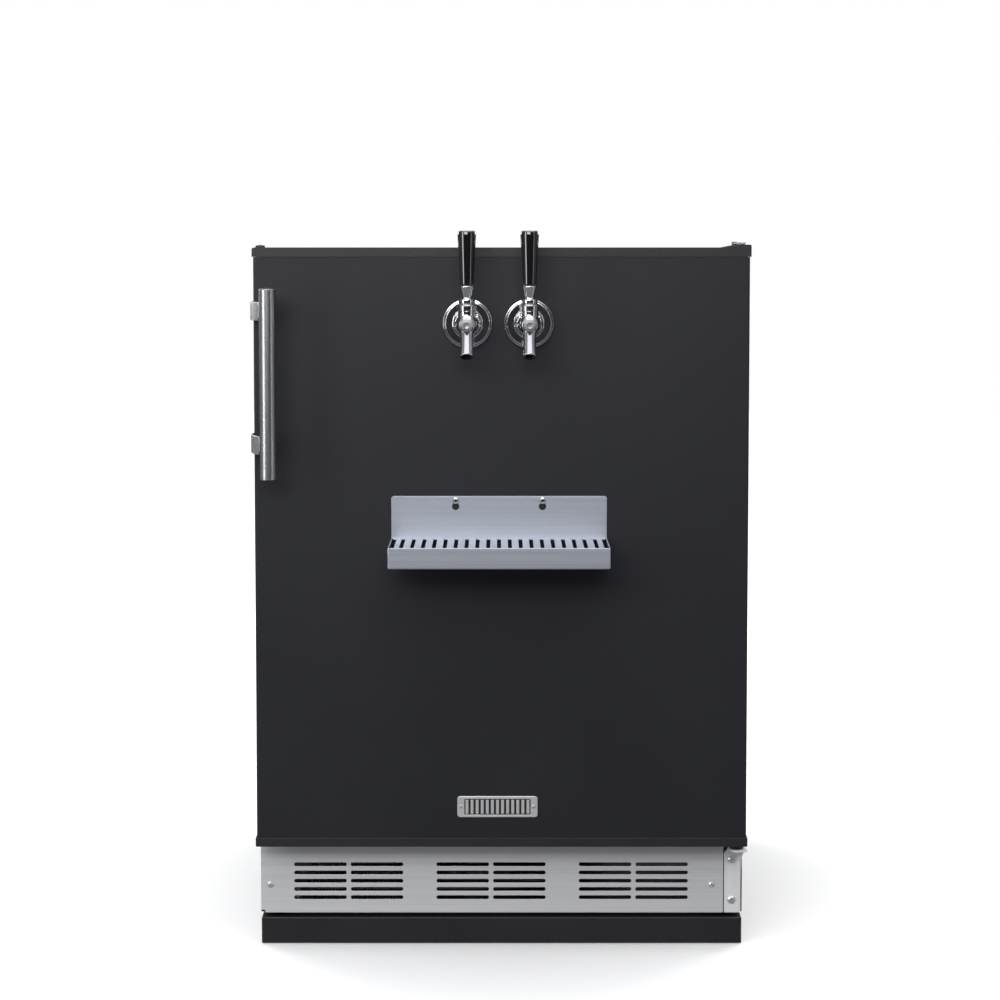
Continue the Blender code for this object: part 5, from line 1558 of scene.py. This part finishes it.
def evaporator():
    low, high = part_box("evaporator_cover")
    x, _, z = middle_of(low, high)
    wide, tall = high.x - low.x, high.z - low.z
    fan_x, fan_y, fan_z = -45 * MM, 288 * MM, 660 * MM
    front, sheet, r = low.y, 1.8 * MM, 7 * MM
    levels = (0.735, 0.751, 0.767, 0.783)
    louvres = [slot_loop(x, level + 3 * MM, wide - 0.08, 6 * MM, 4) for level in levels]
    drains = [slot_loop(x + dx, low.z + 14 * MM, 34 * MM, 4 * MM, 4) for dx in (-0.15, -0.1, 0.1, 0.15)]
    outline = rounded_rect(x, z, wide - 2 * r, tall - 2 * r, 3 * MM, 3)
    loops = [outline, ring_loop(fan_x, fan_z, 46 * MM, 64), *louvres, *drains]
    face = plate(loops, sheet, 0.4 * MM, "Y", front + sheet / 2)
    bend = []
    for degrees in (0, 22, 45, 68, 90):
        a = math.radians(degrees)
        bend.append((r - r * math.sin(a), front + r * (1 - math.cos(a))))
    path = bend + [(0, high.y), (sheet, high.y)] + [(inset + sheet, y + sheet) for inset, y in bend[::-1]]
    loops = []
    for inset, y in path:
        loop = rounded_rect(x, z, wide - 2 * inset, tall - 2 * inset, max(r - inset, 2 * MM), 4)
        loops.append([(a, y, b) for a, b in loop])
    piece("evaporator_face", face, "liner", node="evaporator_cover")
    piece("evaporator_rim", skin(loops, wrap_rows=True), "liner", sharp=50)
    for i, level in enumerate(levels):
        vane = [(front + a, level + b) for a, b in mm((1.6, 6.5), (2.8, 6.5), (9, -1), (7.8, -1))]
        piece(
            f"evaporator_vane_{i}", prism(vane, "X", low.x + 0.035, high.x - 0.035), "liner",
            bevel=0.3 * MM,
        )
    guard = [
        wire(circle_points((fan_x, front - 1.2 * MM, fan_z), rr * MM, "Y", 48), 0.9 * MM, closed=True)
        for rr in (12, 20, 28, 36, 44)
    ]
    for turn in range(0, 360, 60):
        a = math.radians(turn + 15)
        spoke = mm((0, -1.9), (44, -1.9), (49.5, -0.2))
        spoke = [(fan_x + q * math.cos(a), front + lift, fan_z + q * math.sin(a)) for q, lift in spoke]
        guard.append(wire(spoke, 1.0 * MM))
    piece("evaporator_fan_guard", joined(*guard), "chrome", level=False)
    hub = soft_turned(
        mm((0, -3.0), (9, -2.4), (11, -0.8), (0, -0.6)), "Y", (fan_x, front, fan_z), 0.8 * MM, 40,
    )
    piece("evaporator_guard_cap", hub, "black_plastic")
    fan_wheel(
        "evaporator_fan_wheel", (fan_x, fan_y, fan_z), 14 * MM, 42 * MM, 16 * MM, 5, "evaporator_fan",
        "evaporator_fan",
    )
    motor = [
        turned(
            fillet(mm((0, 10.5), (17, 10.5), (17, 16.5), (0, 16.5)), 1.2 * MM, 3, False), "Y",
            (fan_x, fan_y, fan_z), 40,
        )
    ]
    motor.append(
        box(
            (low.x + 3 * MM, fan_y + 11 * MM, fan_z - 5 * MM),
            (high.x - 3 * MM, fan_y + 13 * MM, fan_z + 5 * MM),
        )
    )
    piece("evaporator_fan_motor", joined(*motor), "zinc")
    coil = [
        box((low.x + 0.03 + i * 6.2 * MM, 0.282, 0.728), (low.x + 0.0303 + i * 6.2 * MM, 0.302, 0.80))
        for i in range(54)
    ]
    piece("evaporator_fins", joined(*coil), "fins")
    for i, (sx, sz) in enumerate(
        [(a, b) for a in (low.x + 0.013, high.x - 0.013) for b in (low.z + 0.013, high.z - 0.013)]
    ):
        head = screw_head((sx, front + 0.1 * MM, sz), "Y", -1, 3.8 * MM, 1.8 * MM)
        piece(f"evaporator_screw_{i}", head, "zinc")


def thermostat():
    low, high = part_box("thermostat_housing")
    x, y, _ = middle_of(low, high)
    body = prism(rounded_rect(x, y, high.x - low.x, high.y - low.y, 9 * MM, 5), "Z", low.z, high.z)
    piece("thermostat_case", body, "liner", node="thermostat_housing", bevel=2.0 * MM, steps=3)
    knob_low, knob_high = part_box("thermostat_knob")
    kx, ky = (knob_low.x + knob_high.x) / 2, -0.11
    dial = turned(mm((0, -0.25), (26, -0.25), (26, 0.3), (0, 0.3)), "Z", (kx, ky, low.z), 56)
    piece("thermostat_dial", dial, "dial_white")
    ticks = []
    for i in range(10):
        a = math.radians(90 + 135 - i * 30)
        tick = box(
            (-0.35 * MM, 20.5 * MM, low.z - 0.5 * MM),
            (0.35 * MM, (23.5 + 0.15 * i) * MM, low.z - 0.1 * MM),
        )
        ticks.append(moved(tick, Matrix.Translation((kx, ky, 0)) @ Matrix.Rotation(a - math.pi / 2, 4, "Z")))
    piece("thermostat_ticks", joined(*ticks), "cap_plastic")
    top, foot = knob_high.z, knob_low.z
    knob = fluted(
        [
            (17.6, top, 0.5), (17.9, top - 1.5 * MM, 0), (17.4, top - 10 * MM, 0.5),
            (16.6, foot + 1.2 * MM, 0.5), (15.4, foot + 0.2 * MM, 0.5), (13, foot, 0),
        ],
        "Z", (kx, ky), 24, 96,
    )
    piece(
        "thermostat_knob_turned", knob, "black_plastic", "thermostat_knob", node="thermostat_knob",
        sharp=50,
    )
    mark = box(
        (kx - 0.6 * MM, ky + 6 * MM, knob_low.z - 0.25 * MM),
        (kx + 0.6 * MM, ky + 13.4 * MM, knob_low.z + 0.3 * MM),
    )
    piece("thermostat_pointer", mark, "dial_white", "thermostat_knob")
    low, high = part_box("light_lens")
    x, y, _ = middle_of(low, high)
    lens = prism(rounded_rect(x, y, high.x - low.x, high.y - low.y, 6 * MM, 4), "Z", low.z, high.z)
    piece("light_cover", lens, "lens", node="light_lens", bevel=1.8 * MM, steps=3)
    ribs = []
    for i in range(10):
        x = low.x + (6 + i * 5.5) * MM
        ribs.append(
            box((x, low.y + 6 * MM, low.z - 0.35 * MM), (x + 1.5 * MM, high.y - 6 * MM, low.z + 0.4 * MM))
        )
    piece("light_cover_ribs", joined(*ribs), "lens", bevel=0.2 * MM)


def gauge(name, x, front, back, z, turn):
    r = 22 * MM
    profile = fillet(
        [
            (0, back), (18 * MM, back, 1 * MM), (r, back - 3 * MM, 1 * MM), (r, front + 1.6 * MM, 0.6 * MM),
            (r - 0.8 * MM, front, 0.6 * MM), (18.8 * MM, front, 0.4 * MM),
            (18.4 * MM, front + 2.2 * MM, 0.2 * MM), (0, front + 2.2 * MM),
        ],
        1 * MM, 3, False,
    )
    piece(name + "_case", turned(profile, "Y", (x, 0, z), 56), "brass", node=name, sharp=50)
    disc = turned(mm((0, 1.9), (18.2, 1.9), (18.2, 2.4), (0, 2.4)), "Y", (x, front, z), 48)
    piece(name + "_dial", disc, "dial_white")

    def mark(degrees, inner, outer, half):
        cell = box((inner * MM, front + 1.7 * MM, -half * MM), (outer * MM, front + 2.0 * MM, half * MM))
        return moved(cell, Matrix.Translation((x, 0, z)) @ Matrix.Rotation(-math.radians(degrees), 4, "Y"))

    ticks = [mark(225 - i * 9, 14.6 if i % 5 else 13.2, 16.6, 0.22) for i in range(31)]
    piece(name + "_ticks", joined(*ticks), "cap_plastic", level=False)
    band = [mark(-45 + i * 7, 16.9, 17.8, 1.15) for i in range(8)]
    piece(name + "_red_band", joined(*band), "dial_red", level=False)
    needle = prism(
        mm((-4, -0.7), (13.8, -0.15), (13.8, 0.15), (-4, 0.7)), "Y", front + 1.1 * MM, front + 1.5 * MM,
    )
    boss = turned(mm((0, 0.9), (1.6, 0.9), (1.6, 2), (0, 2)), "Y", (0, front, 0), 20)
    pointer = moved(
        joined(needle, boss), Matrix.Translation((x, 0, z)) @ Matrix.Rotation(-math.radians(turn), 4, "Y"),
    )
    piece(name + "_needle", pointer, "cap_plastic", level=False)


def gas_cylinder():
    x, y, valve_z, r = GAS_X, GAS_Y, GAS_VALVE_Z, 55 * MM
    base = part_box("co2_cylinder")[0].z
    shell = fillet(
        [
            (0, base + 7 * MM), (30 * MM, base + 6 * MM, 8 * MM), (42 * MM, base, 3 * MM),
            (r - 5 * MM, base, 5 * MM), (r, base + 14 * MM, 8 * MM), (r, 0.485, 45 * MM),
            (47 * MM, 0.524, 20 * MM), (20 * MM, 0.547, 8 * MM), (17 * MM, 0.552, 1 * MM),
            (17 * MM, 0.559, 1 * MM), (0, 0.559),
        ],
        3 * MM, 6, False,
    )
    piece("gas_bottle", turned(shell, "Z", (x, y, 0), 96), "cylinder", node="co2_cylinder", sharp=60)
    valve = fillet(
        [
            (0, 0.558), (13 * MM, 0.558), (13 * MM, 0.566), (11 * MM, 0.568), (11 * MM, 0.588),
            (12.5 * MM, 0.59), (12.5 * MM, 0.5935), (6 * MM, 0.5945), (6 * MM, 0.598), (0, 0.598),
        ],
        0.8 * MM, 3, False,
    )
    piece("gas_valve_body", turned(valve, "Z", (x, y, 0), 48), "brass", sharp=50)
    thread = [(9 if i % 2 else 8.3, -9 - i) for i in range(18)]
    outlet = turned(mm((0, 0), (9, 0), *thread, (8.3, -28), (0, -28)), "Y", (x, y, valve_z), 40)
    piece("gas_valve_outlet", outlet, "brass", sharp=30)
    relief_cap = soft_turned(mm((0, 5), (6.5, 5), (6.5, 15), (0, 16.5)), "Y", (x, y, valve_z), 1 * MM, 32)
    piece("gas_relief_cap", relief_cap, "brass")

    low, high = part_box("co2_handwheel")
    wheel = fluted(
        [
            (7, 0.5986, 0), (16.5, 0.5987, -1.5), (18.6, 0.6002, -1.5), (19.4, 0.604, -1.5),
            (18.6, 0.6084, -1.5), (16.5, 0.6104, -1.5), (9, 0.6109, 0), (7, 0.6096, 0),
        ],
        "Z", (x, y), 6, 90,
    )
    piece("gas_handwheel_rim", wheel, "black_plastic", "co2_handwheel", node="co2_handwheel", sharp=60)
    nut = prism(ring_loop(x, y, 4.2 * MM, 6), "Z", 0.609, high.z)
    piece("gas_handwheel_nut", nut, "zinc", "co2_handwheel", bevel=0.4 * MM)

    ring = fillet(
        [(r + 0.7 * MM, 0.42), (r + 2.7 * MM, 0.42), (r + 2.7 * MM, 0.438), (r + 0.7 * MM, 0.438)],
        0.6 * MM, 3,
    )
    piece("gas_bottle_clamp", turned(ring, "Z", (x, y, 0), 80, ring=True), "zinc", node="cylinder_bracket")
    foot = box((x + r + 1.5 * MM, y - 0.018, 0.41), (0.2587, y + 0.018, 0.448))
    piece("gas_bottle_clamp_foot", foot, "zinc", bevel=0.5 * MM)


def regulator():
    x, y, valve_z = GAS_X, GAS_Y, GAS_VALVE_Z
    nut_y = y - 0.028 - GAP
    piece(
        "regulator_inlet_nut", prism(ring_loop(x, valve_z, 15.4 * MM, 6), "Y", nut_y - 0.016, nut_y),
        "brass", bevel=0.9 * MM,
    )
    body = fillet(
        [
            (0, -0.012), (7 * MM, -0.014), (8 * MM, -0.024, 2 * MM), (22 * MM, -0.025, 2 * MM),
            (27 * MM, -0.030, 1 * MM), (27 * MM, -0.036, 0.6 * MM), (25.8 * MM, -0.0368, 0.3 * MM),
            (25.8 * MM, -0.0382, 0.3 * MM), (27 * MM, -0.039, 0.6 * MM), (27 * MM, -0.045, 1.5 * MM),
            (20 * MM, -0.056, 4 * MM), (13.4 * MM, -0.0605, 1 * MM), (13 * MM, -0.062, 0.5 * MM),
            (0, -0.062),
        ],
        1 * MM, 4, False,
    )
    piece(
        "regulator_bell", turned(body, "Y", (x, nut_y, valve_z), 72), "brass", node="regulator_body",
        sharp=50,
    )
    gauge_y = nut_y - 0.036
    stems = joined(
        turned([(0, -0.037), (6 * MM, -0.037), (6 * MM, -0.02), (0, -0.02)], "X", (x, gauge_y, valve_z), 6),
        turned([(0, 0.02), (6 * MM, 0.02), (6 * MM, 0.037), (0, 0.037)], "Z", (x, gauge_y, valve_z), 6),
    )
    piece("regulator_gauge_stems", stems, "brass", bevel=0.4 * MM)
    barb = [(0, -0.02), (5 * MM, -0.02), (5 * MM, -0.026)]
    for i in range(4):
        barb += [(5.2 * MM, (-27.0 - i * 4.2) * MM), (4.0 * MM, (-31.0 - i * 4.2) * MM)]
    barb += [(3.6 * MM, -0.045), (0, -0.045)]
    piece("regulator_barb", turned(barb, "Z", (x, gauge_y, valve_z), 36), "brass", sharp=30)
    low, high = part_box("tank_gauge")
    gauge("tank_gauge", x - 0.0585, low.y, high.y, valve_z, 130)
    low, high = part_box("line_gauge")
    gauge("line_gauge", x, low.y, high.y, valve_z + 0.0585, 170)
    low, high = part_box("regulator_knob")
    knob = fluted(
        [
            (12.6, high.y, 0), (14.4, high.y - 1.6 * MM, 0.55), (14.5, high.y - 8 * MM, 0.55),
            (14.2, low.y + 1.8 * MM, 0.55), (13, low.y + 0.4 * MM, 0), (10.5, low.y, 0),
        ],
        "Y", (x, valve_z), 16, 96,
    )
    piece("regulator_knob_fluted", knob, "black_plastic", "regulator_knob", node="regulator_knob", sharp=60)
    piece(
        "regulator_knob_mark",
        box(
            (x - 0.6 * MM, low.y - 0.15 * MM, valve_z + 4 * MM),
            (x + 0.6 * MM, low.y + 0.3 * MM, valve_z + 10 * MM),
        ),
        "dial_white", "regulator_knob",
    )


BUILDERS = [
    door_shell, door_inside, door_gasket, handle, nameplate, drip_tray, taps, wrapper, back_panel,
    kick_panel, toe_kick, feet, lower_hinge, upper_hinge, condenser, condenser_fan, compressor,
    evaporation_tray, power_socket, inner_liner, keg_floor, evaporator, thermostat, gas_cylinder, regulator,
]


# ---- build ----
bpy.context.scene.view_settings.view_transform = "Standard"
bpy.context.scene.view_settings.look = "None"
add_camera()
add_lights()
add_world()
add_floor()
MATS = make_materials()
for build in BUILDERS:
    build()
paint_node("insulation_foam", "foam")
